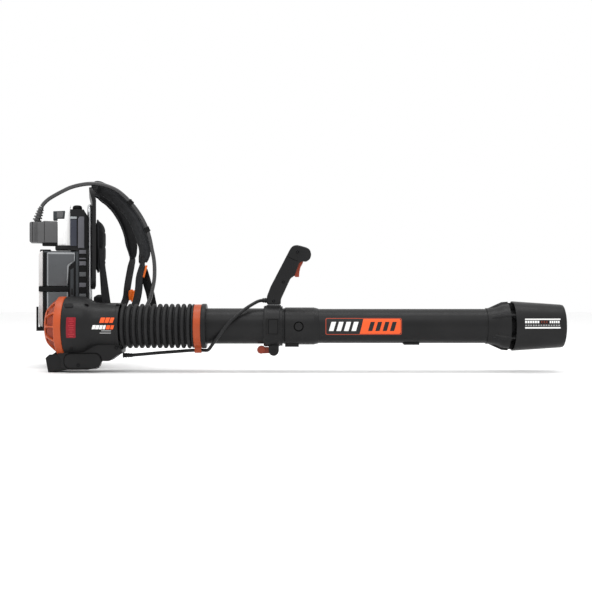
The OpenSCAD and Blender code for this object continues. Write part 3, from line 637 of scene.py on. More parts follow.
# the straps' lines in the backpack's millimetres: (forward, up); the webbing and the far strap are a few
# millimetres off the CAD's simpler lines, where a closer measurement put them
NEAR_V, FAR_V = -66, 66
near_line = [(-31, 136), (-23.4, 140.5), (-18, 147), (9, 133), (32, 116), (54, 93), (76, 62), (93, 21), (100, -11),
    (98, -36), (95.6, -49)]
far_line = [(-31, 136), (-24, 138.5), (-12, 140.4), (5.5, 129.7), (30.3, 108.3), (51, 76.3), (66.2, 38), (74.2, 1),
    (77.2, -32)]
near_web = [(97, -42), (95.4, -51), (93.8, -61.6), (89.8, -79), (87.9, -90), (86.8, -108), (84.5, -126.7),
    (79, -149), (68, -175), (48, -194), (12, -204), (-12, -207.5)]
near_tail = [(100.5, -63), (103.6, -80), (108.9, -103), (114.9, -123), (120.1, -149), (126, -175), (129, -190)]
far_web = [(75.4, -24), (76.8, -34), (74, -47), (71.2, -61), (66.8, -85), (62.8, -111), (60.8, -131), (55, -150),
    (38, -185), (10, -204), (-12, -207.5)]


def lifted(line, v, spread=0.0):
    """A (forward, up) line placed across the back at v, moving by spread at each point."""
    return [(u, v + spread * i, z) for i, (u, z) in enumerate(line)]


def taper(n, a, b, c):
    """A width that runs from a to b near the start and from b to c near the end."""
    out = []
    for i in range(n):
        t = i / (n - 1)
        out.append(a + (b - a) * t / 0.15 if t < 0.15 else b + (c - b) * (t - 0.88) / 0.12 if t > 0.88 else b)
    return out


def easing(n, a, b):
    """A lean in degrees that grows from a to b in the first quarter, in radians."""
    return [math.radians(a + (b - a) * min(1, 4 * i / (n - 1))) for i in range(n)]


def padded_strap(name, line, v, spread, lean, material, foot=27):
    path = curve_points(lifted(line, v, spread), 6)
    n = len(path)
    shape, frames = strip(name, path, taper(n, 37, 58, foot), taper(n, 6, 11.5, 4), easing(n, 0, lean), material,
        0.45, 24, 80)
    return puffed(shape, 0.0045, 4.0, 0.0022), frames


strap_near, near_frames = padded_strap("shoulder_strap_near", near_line, NEAR_V, -2, 22, STRAP_MESH, 38)
# the far strap takes the shaded copy of the mesh: painted shade
strap_far, far_frames = padded_strap("shoulder_strap_far", far_line, FAR_V, 1.3, -28, STRAP_MESH_SHADED)


def nearest(obj, points):
    """Each point moved on to the object's surface."""
    tree = BVHTree.FromObject(obj, bpy.context.evaluated_depsgraph_get())
    return [tree.find_nearest(p) for p in points]


def stitched(name, obj, rows, material=THREAD, step=3.0, length=2.0):
    """Rows of thread: one small capsule per stitch, sunk half into the surface of obj."""
    verts, faces = [], []
    tree = BVHTree.FromObject(obj, bpy.context.evaluated_depsgraph_get())
    for row in rows:
        gone = [0.0]
        for a, b in zip(row, row[1:]):
            gone.append(gone[-1] + (b - a).length)
        s = 0.0
        while s < gone[-1] - length / 1000:
            ends = []
            for q in (s, s + length / 1000):
                i = max(k for k in range(len(gone)) if gone[k] <= q)
                i = min(i, len(row) - 2)
                t = (q - gone[i]) / max(gone[i + 1] - gone[i], 1e-9)
                hit = tree.find_nearest(row[i].lerp(row[i + 1], t))
                ends.append((hit[0], hit[1]))
            (p, n1), (q2, _) = ends
            d = (q2 - p)
            if 1e-4 < d.length < 0.006:
                d.normalize()
                side = n1.cross(d).normalized()
                r = 0.00042
                base = len(verts)
                for at, k in ((p, 0.5), (p + (q2 - p) * 0.2, 1.0), (p + (q2 - p) * 0.8, 1.0), (q2, 0.5)):
                    for w in range(6):
                        a = math.tau * w / 6
                        verts.append(at + n1 * (r * 0.35) + (math.cos(a) * side + math.sin(a) * n1) * r * k)
                faces += [tuple(base + i for i in face) for face in skin(4, 6, False)]
            s += step / 1000
    return make(name, verts, faces, material, 60)


def strap_trim(name, obj, frames, outward):
    """Bound edges, and stitch rows along the outer face."""
    parts = []
    for side in (-1, 1):
        line = [P(*(c + a * side * w * 0.49)) for c, a, o, w, t in frames]
        hits = nearest(obj, line)
        parts.append(sweep(f"{name}_binding", [h[0] for h in hits][1:-1], 0.0021, STRAP_SHELL, 10))
    binding = join(f"{name}_binding", parts)
    rows = []
    for side in (-0.40, 0.40):
        rows.append([P(*(c + a * side * w + o * outward * (t / 2 + 3))) for c, a, o, w, t in frames[2:-2]])
    return binding, stitched(f"{name}_stitches", obj, rows)


near_binding, near_stitches = strap_trim("strap_near", strap_near, near_frames, 1)
far_binding, far_stitches = strap_trim("strap_far", strap_far, far_frames, 1)


CHANNELS = (-38, -4, 30)


def channel_height(h, v):
    """A sewn channel's height at v across the pad: it bows away from the pad's middle."""
    return 0.0012 * v * v * (1 if h > 0 else -1) * 0.6


def channel(obj, heights, depth=2.2, width=3.2):
    """Sewn channels across a pad's front face: the fabric is drawn in along lines of equal height."""
    for v in obj.data.vertices:
        u = (v.co.x * math.cos(YAW) + v.co.y * math.sin(YAW)) * 1000
        z = v.co.z * 1000
        side = (-v.co.x * math.sin(YAW) + v.co.y * math.cos(YAW)) * 1000
        if u < -12:
            continue
        d = sum(math.exp(-((z - h - channel_height(h, side)) / width) ** 2) for h in heights)
        pull = depth * min(1, d) / 1000
        v.co -= Vector((math.cos(YAW), math.sin(YAW), 0)) * pull


channel(back_pad, CHANNELS)
pad_rows = [[P(10, v, h + channel_height(h, v)) for v in range(-84, 85, 6)] for h in CHANNELS]
pad_stitches = stitched("back_cushion_stitches", back_pad, pad_rows)
pad_edge = [P(-14.5, 96.0 * math.copysign(abs(math.cos(a)) ** 0.28, math.cos(a)),
    -2.5 + 72 * math.copysign(abs(math.sin(a)) ** 0.28, math.sin(a))) for a in [math.tau * k / 90 for k in range(91)]]
pad_binding = sweep("back_cushion_binding", [h[0] for h in nearest(back_pad, pad_edge)], 0.0020, STRAP_SHELL, 10)

for obj, node in ((back_pad, "back_pad"), (lumbar_pad, "lumbar_pad")):
    put(obj, "pack", "pad_fabric", node)
for obj, node in ((strap_near, "strap_near"), (strap_far, "strap_far")):
    put(obj, "pack", "strap_fabric", node)
for obj in (near_binding, near_stitches, far_binding, far_stitches, pad_stitches, pad_binding):
    put(obj, "pack", "webbing_fabric")


# ---------- the power cord ----------

cord_pack = [(-155.4, -61, 95.2), (-149, -62, 104), (-138, -64, 114), (-124, -66, 123), (-104, -70, 134),
    (-84, -78, 143), (-60, -88, 149), (-34, -99.5, 151.5), (-8.6, -107, 149.5), (12, -109.5, 143.6),
    (31.2, -110, 134.8), (48.7, -110.5, 121.3), (64.8, -111.3, 104.9), (80.8, -111.6, 85), (95.6, -112.5, 61),
    (106.3, -113.5, 37), (113.6, -115.5, 11), (117.9, -116.5, -12), (122.7, -116.5, -36), (124.8, -116.5, -62),
    (123.8, -117, -90), (118.8, -119, -116), (111.5, -121, -142)]
cord_row = [(118, -110, -176), (105, -121, -205), (92, -136, -233), (79, -153, -256), (60, -171, -268),
    (49, -184, -269), (47, -193, -269), (47, -202, -269)]
cord_path = curve_points([tuple(P(*p)) for p in cord_pack] + [tuple(c / 1000 for c in p) for p in cord_row], 4)
cord_curve = D.curves.new("power_lead", "CURVE")
cord_curve.dimensions = "3D"
spline = cord_curve.splines.new("POLY")
spline.points.add(len(cord_path) - 1)
for point, place in zip(spline.points, cord_path):
    point.co = (*place, 1)
cord_curve.bevel_depth = 0.0049
cord_curve.bevel_resolution = 6
cord_curve.use_fill_caps = True
cord_curve.materials.append(CORD)
power_lead = D.objects.new("power_lead", cord_curve)
scene.collection.objects.link(power_lead)
put(power_lead, "pack", "rubber", "power_cord")


# ---------- blower: fan housing, cage, box ----------

def housing_radius(s):
    table = [(45, 69.3), (84, 69.5), (92, 68), (101, 63.5), (113, 57.5), (122, 55), (132, 54), (176, 54)]
    for (a, ra), (b, rb) in zip(table, table[1:]):
        if a <= s <= b:
            return ra + (rb - ra) * (s - a) / (b - a)
    return table[0][1] if s < 45 else table[-1][1]


# smooth outer shell over the whole housing, with its parting line and end beads
shell_profile = [(45.3, 67), (45.3, 68.8), (46.2, 69.6), (48, 69.9), (66, 70), (80, 69.8), (86, 69.3), (92, 68.2),
    (97, 66.4), (102, 63.6), (107, 60.8), (112, 58.4), (117, 56.6), (122, 55.4), (128, 54.6), (136, 54.2),
    (150, 54.1), (168, 54.0), (169, 54.9), (175, 54.9), (175.8, 54.2), (175.8, 51.5), (168, 51.2), (130, 51.4),
    (118, 53.4), (104, 59.5), (95, 64.2), (84, 66.8), (60, 66.9)]
housing = lathe("fan_housing_shell", shell_profile, CHARCOAL, 160, 30)
put(housing, "pack", "charcoal_plastic", "housing_near", "housing_far")
# the raised parting bead, top and bottom, in black plastic darker than the shell: painted shade along the parting line
for name, sign in (("top", 1), ("bottom", -1)):
    path = [B(s, 0, sign * (housing_radius(s) + 0.35)) for s in range(47, 174, 3)]
    put(sweep(f"housing_seam_{name}", path, 0.0011, SOFT_BLACK, 8), "pack", "charcoal_plastic")


# recess of the cover's latch near the top, and its small twin below, drawn as flat black patches: painted shade of the
# recesses
patch("latch_recess_shade_top", rounded_box(38.5, 61, 43.5, 54.5, 5.2), 70.1, SOFT_BLACK, 0.5, "pack", "black_plastic")
patch("latch_shadow_top", rounded_box(40.5, 59.5, 45, 52.5, 3.6), 70.6, SOFT_BLACK, 0.25, "pack", "black_plastic")
patch("latch_recess_shade_low", rounded_box(52, 61, -60, -52, 2.2), 70.1, SOFT_BLACK, 0.5, "pack", "black_plastic")


def screw_recess(name, s, y, z, body, slot, r=4.2, lean=0.0):
    """A screw down a round well: a rolled rim, walls painted near-black as painted shade, and a socket-head screw at
    the bottom.
    """
    rim = [(r + 1.3, 0.1), (r + 1.1, -0.5), (r + 0.3, -0.9), (r - 0.2, -0.6), (r - 0.3, 1.6), (r + 1.3, 1.6)]
    well = [(0.01, 1.0), (r - 0.2, 1.0), (r - 0.2, -0.35), (r - 0.6, -0.4), (0.01, -0.42)]
    head = [(0.01, -0.9), (r * 0.42, -0.9), (r * 0.55, -0.7), (r * 0.55, 0.4), (0.01, 0.4)]
    sides, turn = 28, Matrix.Rotation(lean, 3, "X")
    out = []
    for kind, profile, material in (("rim", rim, CHARCOAL), ("well", well, SHADE_LENS_BLACK), ("screw", head, DARK_STEEL)):
        verts = [B(s, y, z) + turn @ (Vector((q * cos, depth, q * sin)) / 1000) for cos, sin in around(sides) for q,
            depth in profile]
        out.append(make(f"{name}_{kind}", verts, skin(sides, len(profile)), material, 40))
    for obj in out:
        put(obj, body, slot)
    return out


screw_recess("housing_screw_a", 100.4, -40.6, 50, "pack", "steel", 4.2, math.radians(38))
screw_recess("housing_screw_b", 171.5, -22.0, 49.6, "pack", "steel", 3.6, math.radians(60))

box_outline = [(30, -50), (46, -50), (77, -50), (91, -46), (105, -40), (119, -36), (167, -36), (175, -48),
    (182, -54.7), (182, -63), (171, -68.4), (152, -82.3), (127, -82.3), (125, -87), (118, -96), (109, -101),
    (103, -103), (46, -103), (38.5, -97), (38.5, -78), (30, -66)]
put(prism("control_box", box_outline, -31.4, 31.4, B, CHARCOAL, 2.4, 4, 1.5), "pack", "charcoal_plastic",
    "controller_box")
cover = [nearer(a, c, 35) for a, c in rounded_box(39, 126.5, -102.2, -66.5, 15, 8)]
put(prism("control_cover", cover, -35.4, -30.5, B, CHARCOAL, 2.0, 4), "pack", "charcoal_plastic", "controller_cover")
rim = [nearer(a, c, 33) for a, c in rounded_box(37.8, 127.7, -103.2, -65.3, 16, 8)]
# the gap round the cover, a near-black line: painted shade
put(sweep("control_cover_gap_shade", [B(a, -31.5, c) for a, c in rim + rim[:1]], 0.0007, SHADE_LENS_BLACK, 8), "pack", "black_plastic")
box_screws = screw_recess("box_screw_a", 169.3, -31.5, -50.8, "pack", "steel", 4.0)
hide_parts("housing_screws")
screw_recess("box_screw_b", 126.6, -31.5, -74.0, "pack", "steel", 4.0)
screw_recess("box_screw_c", 79.7, -35.5, -92.2, "pack", "steel", 3.8)

# labels, all plain shapes: a red panel with pale ticks, and a slanted orange and white mark
patch("red_panel", rounded_box(43.8, 66.6, -28.6, 21, 2.6), 70.0, RED, 0.45)
for k in range(9):
    z = -26 + 5.2 * k
    wide = (4.6, 7.4, 3.4, 6.2)[k % 4]
    patch(f"red_tick_{k}", rect(55.2 - wide, 55.2 + wide, z, z + 2.1), 70.4, RED_PALE, 0.25)


def bars(name, start, low, high, widths, gap, lean, radius, material, body="pack"):
    """A row of slanted bars, in place of lettering."""
    s = start
    for i, w in enumerate(widths):
        patch(f"{name}_{i}", [(s, low), (s + w, low), (s + w + lean, high), (s + lean, high)], radius, material,
            0.25, body)
        s += w + gap


bars("housing_mark_orange", 122.5, 7.6, 20.2, (10.5, 9.5, 8.5), 2.0, 4.4, lambda s: housing_radius(s) + 0.3,
    ORANGE_INK)
bars("housing_mark_white", 103.5, -8, 1.9, (7, 8, 7, 6), 1.6, 2.8, lambda s: housing_radius(s) + 0.5, WHITE_INK)
bars("housing_mark_red", 138.2, -8, 1.9, (9, 7), 1.6, 2.8, lambda s: housing_radius(s) + 0.3, ORANGE_INK)
patch("housing_mark_line_a", rect(128, 151, -12.6, -10.6), 54.4, GREY_INK, 0.2)
patch("housing_mark_line_b", rect(124, 151, -18, -15.8), 54.4, GREY_INK, 0.2)

# intake cage: a rounded band, arched fins, rings across them, and a hub
band = [(27.2, 65), (27.2, 68.6), (28.2, 70), (30.4, 70.6), (42, 70.6), (43.8, 70.2), (44.8, 69.2), (44.8, 64.4),
    (36, 64), (29, 64)]
cage_parts = [lathe("cage_band", band, ORANGE, 128, 35)]
dome = [(0.6, 36), (1.4, 41), (4, 46.5), (8, 51.5), (13, 56.5), (19, 61.5), (25, 65.6), (30, 68.2)]
cage_parts.append(lathe("cage_rear_ring", [(0.2, 33), (-0.0, 36), (0.2, 40.4), (1.4, 42.6), (4.6, 43.4), (5.4, 41),
    (5.2, 34.6), (3.6, 33)], ORANGE, 96, 35))
cage_parts.append(lathe("cage_hub_ring", [(0.4, 12), (0.1, 14), (0.6, 19.4), (5.6, 20), (6.2, 17), (6.0, 12.6)],
    ORANGE, 64, 35))
FINS = 12


def cage_fin(i):
    """An arched fin from the hub along the dome to the band. It flares where it meets the rear ring."""
    a = math.tau * i / FINS
    outer = [(0.2, 18.5)] + dome
    inner = [(min(s + 6.5, 34), max(r - 6.5, 17.5)) for s, r in outer][::-1]
    bm = bmesh.new()
    sheets = []
    for side in (-1, 1):
        sheet = []
        for s, r in outer + inner:
            t = 1.5 + 5.5 * max(0, 1 - abs(r - 40) / 9) ** 1.6 if r > 20 else 1.5
            if r > 62:
                t = 1.5 + (r - 62) * 0.3
            across, up = r * math.cos(a) - side * t * math.sin(a), r * math.sin(a) + side * t * math.cos(a)
            sheet.append(bm.verts.new(B(s, across, up)))
        sheets.append(sheet)
    m = len(outer)
    for sheet, flip in ((sheets[0], False), (sheets[1], True)):
        for k in range(m - 1):
            quad = (sheet[k], sheet[k + 1], sheet[2 * m - 2 - k], sheet[2 * m - 1 - k])
            bm.faces.new(quad[::-1] if flip else quad)
    for k in range(2 * m):
        k2 = (k + 1) % (2 * m)
        bm.faces.new((sheets[0][k], sheets[1][k], sheets[1][k2], sheets[0][k2]))
    return from_bmesh(f"cage_fin_{i}", bm, ORANGE, 40)


cage_parts += [cage_fin(i) for i in range(FINS)]
put(join("intake_guard", cage_parts), "pack", "orange_plastic", "intake_cage")
# close louvres behind the fins keep leaves out: rings down the dome, with a slot between each two, in the darker burnt
# orange as painted shade behind the fins
screen = []
walk = curve_points([(s + 4.2, r - 3.2, 0) for s, r in [(-0.6, 22), (-0.2, 30), (0.4, 38)] + dome[1:]], 24)
SLOT_PITCH = 2.45
last = None
for q in walk:
    if last is None or (q - last).length >= SLOT_PITCH:
        last = q
        path = [B(q.x, q.y * math.cos(math.tau * k / 72), q.y * math.sin(math.tau * k / 72)) for k in range(73)]
        screen.append(sweep(f"screen_{len(screen)}", path, 0.00105, BURNT, 6))
put(join("intake_screen", screen), "pack", "orange_plastic")


# ---------- blower: bellows and throttle cable ----------

def wave(start, count, pitch=14.4, root=44.6, crest=53.5, inner=42.0):
    """A bellows' wall: rounded ribs with narrow valleys, closed by a straight inner wall."""
    one = [(0.0, root), (1.0, root + 0.1), (1.9, root + 1.6), (2.5, root + 4.4), (3.1, crest - 2.6),
        (4.2, crest - 0.9), (5.8, crest - 0.15), (7.2, crest), (8.6, crest - 0.15), (10.2, crest - 0.9),
        (11.3, crest - 2.6), (11.9, root + 4.4), (12.5, root + 1.6), (13.4, root + 0.1)]
    out = [(start + k * pitch + s, r) for k in range(count) for s, r in one]
    end = start + count * pitch
    out.append((end, root))
    return out + [(end - (end - start) * k / (count * 4), inner) for k in range(count * 4 + 1)]


def flex(obj, body_a, body_b, start, end, node):
    """A rubber piece between two bodies, from one station on the blower's axis to another: its placement is baked into
    its mesh and the CAD node it replaces is hidden; it is not bent, and the bodies and the stations are not used.
    """
    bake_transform(obj)
    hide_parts(node)


bellows_a = lathe("bellows_rear_half", wave(176.3, 5, 14.34), RUBBER, 112, 50)
bellows_b = lathe("bellows_middle_rib", wave(248.0, 1, 14.4), RUBBER, 112, 50)
bellows_c = lathe("bellows_front_half", wave(262.4, 6, 14.2), RUBBER, 112, 50)
put(bellows_b, "bellows_mid", "rubber", "bellows_ring")
flex(bellows_a, "pack", "bellows_mid", 178, 247, "bellows_rear")
flex(bellows_c, "bellows_mid", "tube", 264, 346, "bellows_front")

cable_a = [(182.4, 0, -70), (190, 0, -70), (205, 0, -69.5), (230, 0, -67.5), (262, 0, -64.5)]
cable_b = [(262.4, 0, -64.5), (285, 0, -62.8), (310, 0, -61), (335, 0, -59), (350, 0, -58.2), (369, 0, -58.2)]
cable_c = [(369.4, 0, -58.2), (374, 0, -58.2), (379, -3, -58.4), (384, -9.5, -57.4), (389, -17.5, -53.5),
    (395, -28, -45.5), (403, -38, -35), (415, -46.3, -20), (430, -49, 0), (446, -46, 17), (463, -39, 32),
    (478, -30, 43.5), (492, -19, 52.5), (504, -9, 59), (514, -2, 61.4), (524, 0, 61.5), (536, 0, 61.5)]
for name, line, node, *span in (("rear", cable_a, "cable_rear", "pack", "bellows_mid", 184, 252),
        ("middle", cable_b, "cable_mid", "bellows_mid", "tube", 270, 346), ("front", cable_c, "cable_front", "tube",
        "handle", 380, 520)):
    flex(sweep(f"throttle_cable_{name}", [B(*p) for p in curve_points(line, 5)], 0.00395, CABLE, 20), *span, node)


def turned_relief(name, base, towards, profile, material, body, slot, sides=36):
    """A strain relief: a profile of (distance along, radius) turned about a line."""
    axis = (towards - base).normalized()
    side = axis.orthogonal().normalized()
    up = axis.cross(side)
    verts = [base + axis * (d / 1000) + (cos * side + sin * up) * (r / 1000) for cos, sin in around(sides) for d,
        r in profile]
    return put(make(name, verts, skin(sides, len(profile)), material, 45), body, slot)


def ribbed_sleeve(length, start, end, inner, ribs):
    out = [(0, inner), (0, start)]
    step = length / ribs
    for k in range(ribs):
        r = start + (end - start) * k / max(1, ribs - 1)
        d = k * step
        out += [(d + step * 0.08, r), (d + step * 0.5, r), (d + step * 0.58, r - 1.0), (d + step * 0.96, r - 1.0)]
    return out + [(length, end - 1.0), (length, inner)]


turned_relief("gland_rear", B(180, 0, -70), B(200, 0, -70), ribbed_sleeve(24, 6.2, 5.2, 4.0, 4), CABLE, "pack",
    "rubber")
turned_relief("gland_handle", B(527, 0, 61.5), B(500, 0, 61.5), ribbed_sleeve(13, 6.6, 5.8, 4.0, 3), CABLE, "handle",
    "rubber")


# ---------- blower: tube, labels, nozzle ----------

patch("tube_frame_outer", rounded_box(666, 849, -21, 19, 4), 41.0, FRAME_INK, 0.22, "tube")
patch("tube_frame_inner", rounded_box(667.8, 847.2, -19.4, 17.4, 2.8), 41.2, DARK_INK, 0.16, "tube")
bars("tube_mark_white", 674, -12, 10, (11, 11, 11, 11), 7, 6.5, 41.35, WHITE_INK, "tube")
patch("tube_block", [(748, -19), (843.5, -19), (846.4, -16), (846.4, 14), (843.5, 17), (757, 17)], 41.35, ORANGE_INK,
    0.16, "tube")
bars("tube_mark_dark", 768, -12, 10, (10, 10, 10, 10), 7.5, 6.5, 41.5, DARK_INK, "tube")


def button_ring(name, s, z, r, base, body):
    pts = [(s + r * math.cos(math.tau * k / 48), z + r * math.sin(math.tau * k / 48)) for k in range(49)]
    path = [B(a, -math.sqrt(max(base ** 2 - c * c, 0)), c) for a, c in pts]
    return put(sweep(name, path, 0.00055, SHADE_LENS_BLACK, 8), body, "black_plastic")


# the gap round the tube's button, a near-black ring: painted shade
button_ring("tube_button_gap_shade", 601.5, 0, 11.2, 44.7, "tube")

# nozzle cone: a skirt turned about the axis whose outside stands proud at six ribs and is sunken between them
def skirt_radius(s):
    """The ribs' outside: a straight flare, then a short run up to the slot."""
    if s < 1088:
        return 43 + (s - 1056) * 0.447
    return 57.3 + (s - 1088) * 0.078


def panel_depth(angle, s):
    """How far the outside lies below the ribs at an angle: nothing on a rib, the panel's floor half-way between."""
    off = abs(math.degrees(angle) % 60 - 30)
    side = min(1, max(0, (off - 3.6) / 2.0))
    run = min(1, max(0, (s - 1058) / 14))
    return 4.4 * side * run


def nozzle_skirt():
    stations = [1050.2, 1056] + [1058 + 2.5 * k for k in range(18)] + [1102.6]
    inside = [(1102.6, 52), (1089, 51), (1067, 43.0), (1056, 41.4), (1050.2, 41.3)]
    sides, verts = 240, []
    for k in range(sides):
        a = math.tau * k / sides
        ring = [(s, (43 if s <= 1056 else skirt_radius(s)) - panel_depth(a, s)) for s in stations] + inside
        verts += [B(s, r * math.cos(a), r * math.sin(a)) for s, r in ring]
    return make("nozzle_cone_skirt", verts, skin(sides, len(ring)), CHARCOAL, 30)


cone_parts = [nozzle_skirt(), lathe("nozzle_inner", [(1056.3, 36.5), (1056.3, 41), (1062, 41), (1066, 43.2),
    (1067.5, 39), (1200, 37.5), (1200, 35), (1070, 36.5)], SOFT_BLACK, 96, 35)]
for k in range(6):
    bridge = [(1066, 38.8), (1067, 43.4), (1090, 52), (1101, 53), (1103, 55.6), (1120, 55.4), (1140, 53.9),
        (1152, 49.6), (1152, 37.4)]
    turn = math.pi / 3 * k
    place = lambda s, w, r, turn=turn: B(s, w * math.cos(turn) - r * math.sin(turn),
        w * math.sin(turn) + r * math.cos(turn))
    cone_parts.append(prism(f"nozzle_bridge_{k}", bridge, -2.3, 2.3, place, CHARCOAL, 0.5, 2))
put(join("nozzle_cone_body", cone_parts), "tube", "charcoal_plastic", "nozzle_cone")

# nozzle: sleeve label of plain lines and arrows
def sleeve_radius(s):
    return 59.4 - (s - 1113) * 0.0678 + 0.12


for k, (z0, z1) in enumerate(((14.6, 17.6), (-6.2, -2.6))):
    patch(f"nozzle_line_{k}", rect(1144.8, 1231.4, z0, z1), sleeve_radius, WHITE_INK, 0.2, "nozzle")
for k in range(6):
    s = 1145 + 5.9 * k
    patch(f"nozzle_dash_{k}", rect(s, s + 4.4, 6.8, 12.6), sleeve_radius, WHITE_INK, 0.2, "nozzle")
    t = 1204 + 5.0 * k
    if k < 5:
        patch(f"nozzle_dash_{k + 6}", rect(t, t + 3.6, 6.8, 12.6), sleeve_radius, WHITE_INK, 0.2, "nozzle")
for k in range(3):
    s = 1183 + 6 * k
    patch(f"nozzle_arrow_{k}", [(s, 9.7), (s + 2.6, 12.6), (s + 4.4, 12.6), (s + 1.8, 9.7), (s + 4.4, 6.8),
        (s + 2.6, 6.8)], sleeve_radius, BURNT, 0.2, "nozzle")
for k in range(14):
    s = 1145.5 + 6.1 * k
    patch(f"nozzle_small_{k}", rect(s, s + 3.6, 0.0, 3.2), sleeve_radius, GREY_INK, 0.2, "nozzle")


# ---------- handle ----------

grip = [(526, 51), (525.5, 71), (534.7, 95), (582, 186), (588, 192), (597, 194), (609, 191.4), (622, 187.5),
    (629, 182), (632, 171), (629, 160.5), (620, 154), (611.5, 154.8), (603, 152), (597.5, 136), (592, 121),
    (582, 114), (559, 64), (558.5, 51)]
near_half = prism("handle_shell_near", grip, -16, -0.15, B, CHARCOAL, 0, 4, 3.5)
far_half = prism("handle_shell_far", grip, 0.15, 16, B, CHARCOAL, 0, 4, 3.5)


def round_rim(obj, level, radius, steps=4):
    """Rounds the outer rim of a flat-sided shell at y = level, in the blower's millimetres."""
    bm = bmesh.new()
    bm.from_mesh(obj.data)
    y = B(0, level, 0).y
    rim = [e for e in bm.edges if all(abs(v.co.y - y) < 1e-6 for v in e.verts) and any(abs(f.normal.y) < 0.5
        for f in e.link_faces)]
    soften(bm, rim, radius / 1000, steps)
    bm.to_mesh(obj.data)
    bm.free()
    crease(obj.data, 32)
    return obj


round_rim(near_half, -16, 6.0, 6)
round_rim(far_half, 16, 6.0, 6)
put(near_half, "handle", "charcoal_plastic", "handle_near")
put(far_half, "handle", "charcoal_plastic", "handle_far")
for k, (s, z) in enumerate(((599, 177), (564.5, 105.5), (542, 60))):
    screw_recess(f"handle_screw_{k}", s, -16.1, z, "handle", "steel", 3.4)
# moulded line across the head of the grip, drawn as a near-black thread: painted shade in the groove
put(sweep("handle_line_shade", [B(s, -16.05, z) for s, z in ((574, 166.5), (580, 164), (590, 158.5), (600, 155.5))],
    0.0005, SHADE_LENS_BLACK, 6), "handle", "black_plastic")

# clamp's side boss: a rounded frame standing on the band
boss = rounded_box(528, 554.5, -19.5, 19.5, 4)
put(prism("clamp_boss", boss, -52.4, -46, B, CHARCOAL, 1.2, 3), "handle", "charcoal_plastic")
boss_line = rounded_box(530.2, 552.3, -17.3, 17.3, 3)
# the groove round the boss, a near-black line: painted shade
put(sweep("clamp_boss_groove_shade", [B(s, -52.42, z) for s, z in boss_line + boss_line[:1]], 0.0005, SHADE_LENS_BLACK, 6), "handle",
    "black_plastic")


# ---------- battery hub ----------

def wall(name, outline, low, high, material, slot, body="pack", bevel=1.2, nodes=(), corner=None):
    """A block of the backpack: an outline in (forward, up) and a span across."""
    return put(prism(name, outline, low, high, P, material, bevel, 3, corner), body, slot, *nodes)


for tag, body, top, bottom, notch in (("upper", "battery_upper", -18.6, -106.9, True),
        ("lower", "battery_lower", -120.1, -208.4, False)):
    if notch:
        outer = [(-150.4, top - 3), (-147, top), (-70, top), (-70, -46.6), (-87, -61.8), (-87, bottom),
            (-150.4, bottom)]
        panel = [(-140.6, top - 5), (-138.6, top - 3.4), (-72.3, top - 3.4), (-72.3, -44.3), (-87.6, -53.4),
            (-89.6, -58), (-89.6, bottom + 0.8), (-140.6, bottom + 0.8)]
        face = [(-137.6, top - 7.6), (-75, top - 7.6), (-75, -43), (-91, -52.4), (-92.6, -56.4),
            (-92.6, bottom + 1.4), (-137.6, bottom + 1.4)]
    else:
        outer = [(-150.4, top), (-87, top), (-87, bottom), (-147, bottom), (-150.4, bottom + 3)]
        panel = [(-140.6, top - 0.8), (-89.6, top - 0.8), (-89.6, bottom + 4), (-138.6, bottom + 4),
            (-140.6, bottom + 6)]
        face = rect(-137.6, -92.6, top - 1.4, bottom + 7)
    wall(f"battery_{tag}_shell", outer, -103.6, 103.6, GREY_DARK, "grey_plastic", body, 2.4, (f"battery_{tag}_case",))
    for side, v0, v1, w0, w1 in (("near", -105.8, -101, -106.6, -104), ("far", 101, 105.8, 104, 106.6)):
        wall(f"battery_{tag}_chamfer_{side}", panel, v0, v1, GREY_PANEL, "grey_plastic", body, 2.2)
        wall(f"battery_{tag}_panel_{side}", face, w0, w1, GREY, "grey_plastic", body, 0.7)
        column = rect(-149.4, -142.6, top - 4 if notch else top - 1, bottom + 1 if notch else bottom + 4)
        wall(f"battery_{tag}_edge_{side}", column, v0 + (0.6 if v0 < 0 else 0), v1 - (0.6 if v0 > 0 else 0),
            SOFT_BLACK, "grey_plastic", body, 1.2)
    cap = ([(-150.6, top), (-153.5, top), (-157, top - 2.2), (-160.4, top - 7), (-161, top - 10), (-161, bottom),
        (-150.6, bottom)] if notch else [(-150.6, top), (-160.4, top), (-160.4, bottom + 9.5), (-159, bottom + 4.4),
        (-155, bottom + 1.2), (-152.5, bottom), (-150.6, bottom)])
    wall(f"battery_{tag}_rear", cap, -103.8, 103.8, SILVER, "silver_plastic", body, 2.4, (f"battery_{tag}_cap",))
    # charge lights on the rear face
    z = (top + bottom) / 2
    for k in range(5):
        wall(f"battery_{tag}_light_{k}", rect(-161.6, -160.2, z - 22 + 9 * k, z - 17 + 9 * k), -8, 8, SHADE_LENS_BLACK,
            "black_plastic", body, 0.4)

wall("battery_upper_lip", [(-159, -19.5), (-157, -14.4), (-133, -14.4), (-131, -18.4), (-148.2, -18.4),
    (-148.2, -19.5)], -90, 90, SOFT_BLACK, "black_plastic", "battery_upper", 1.0)

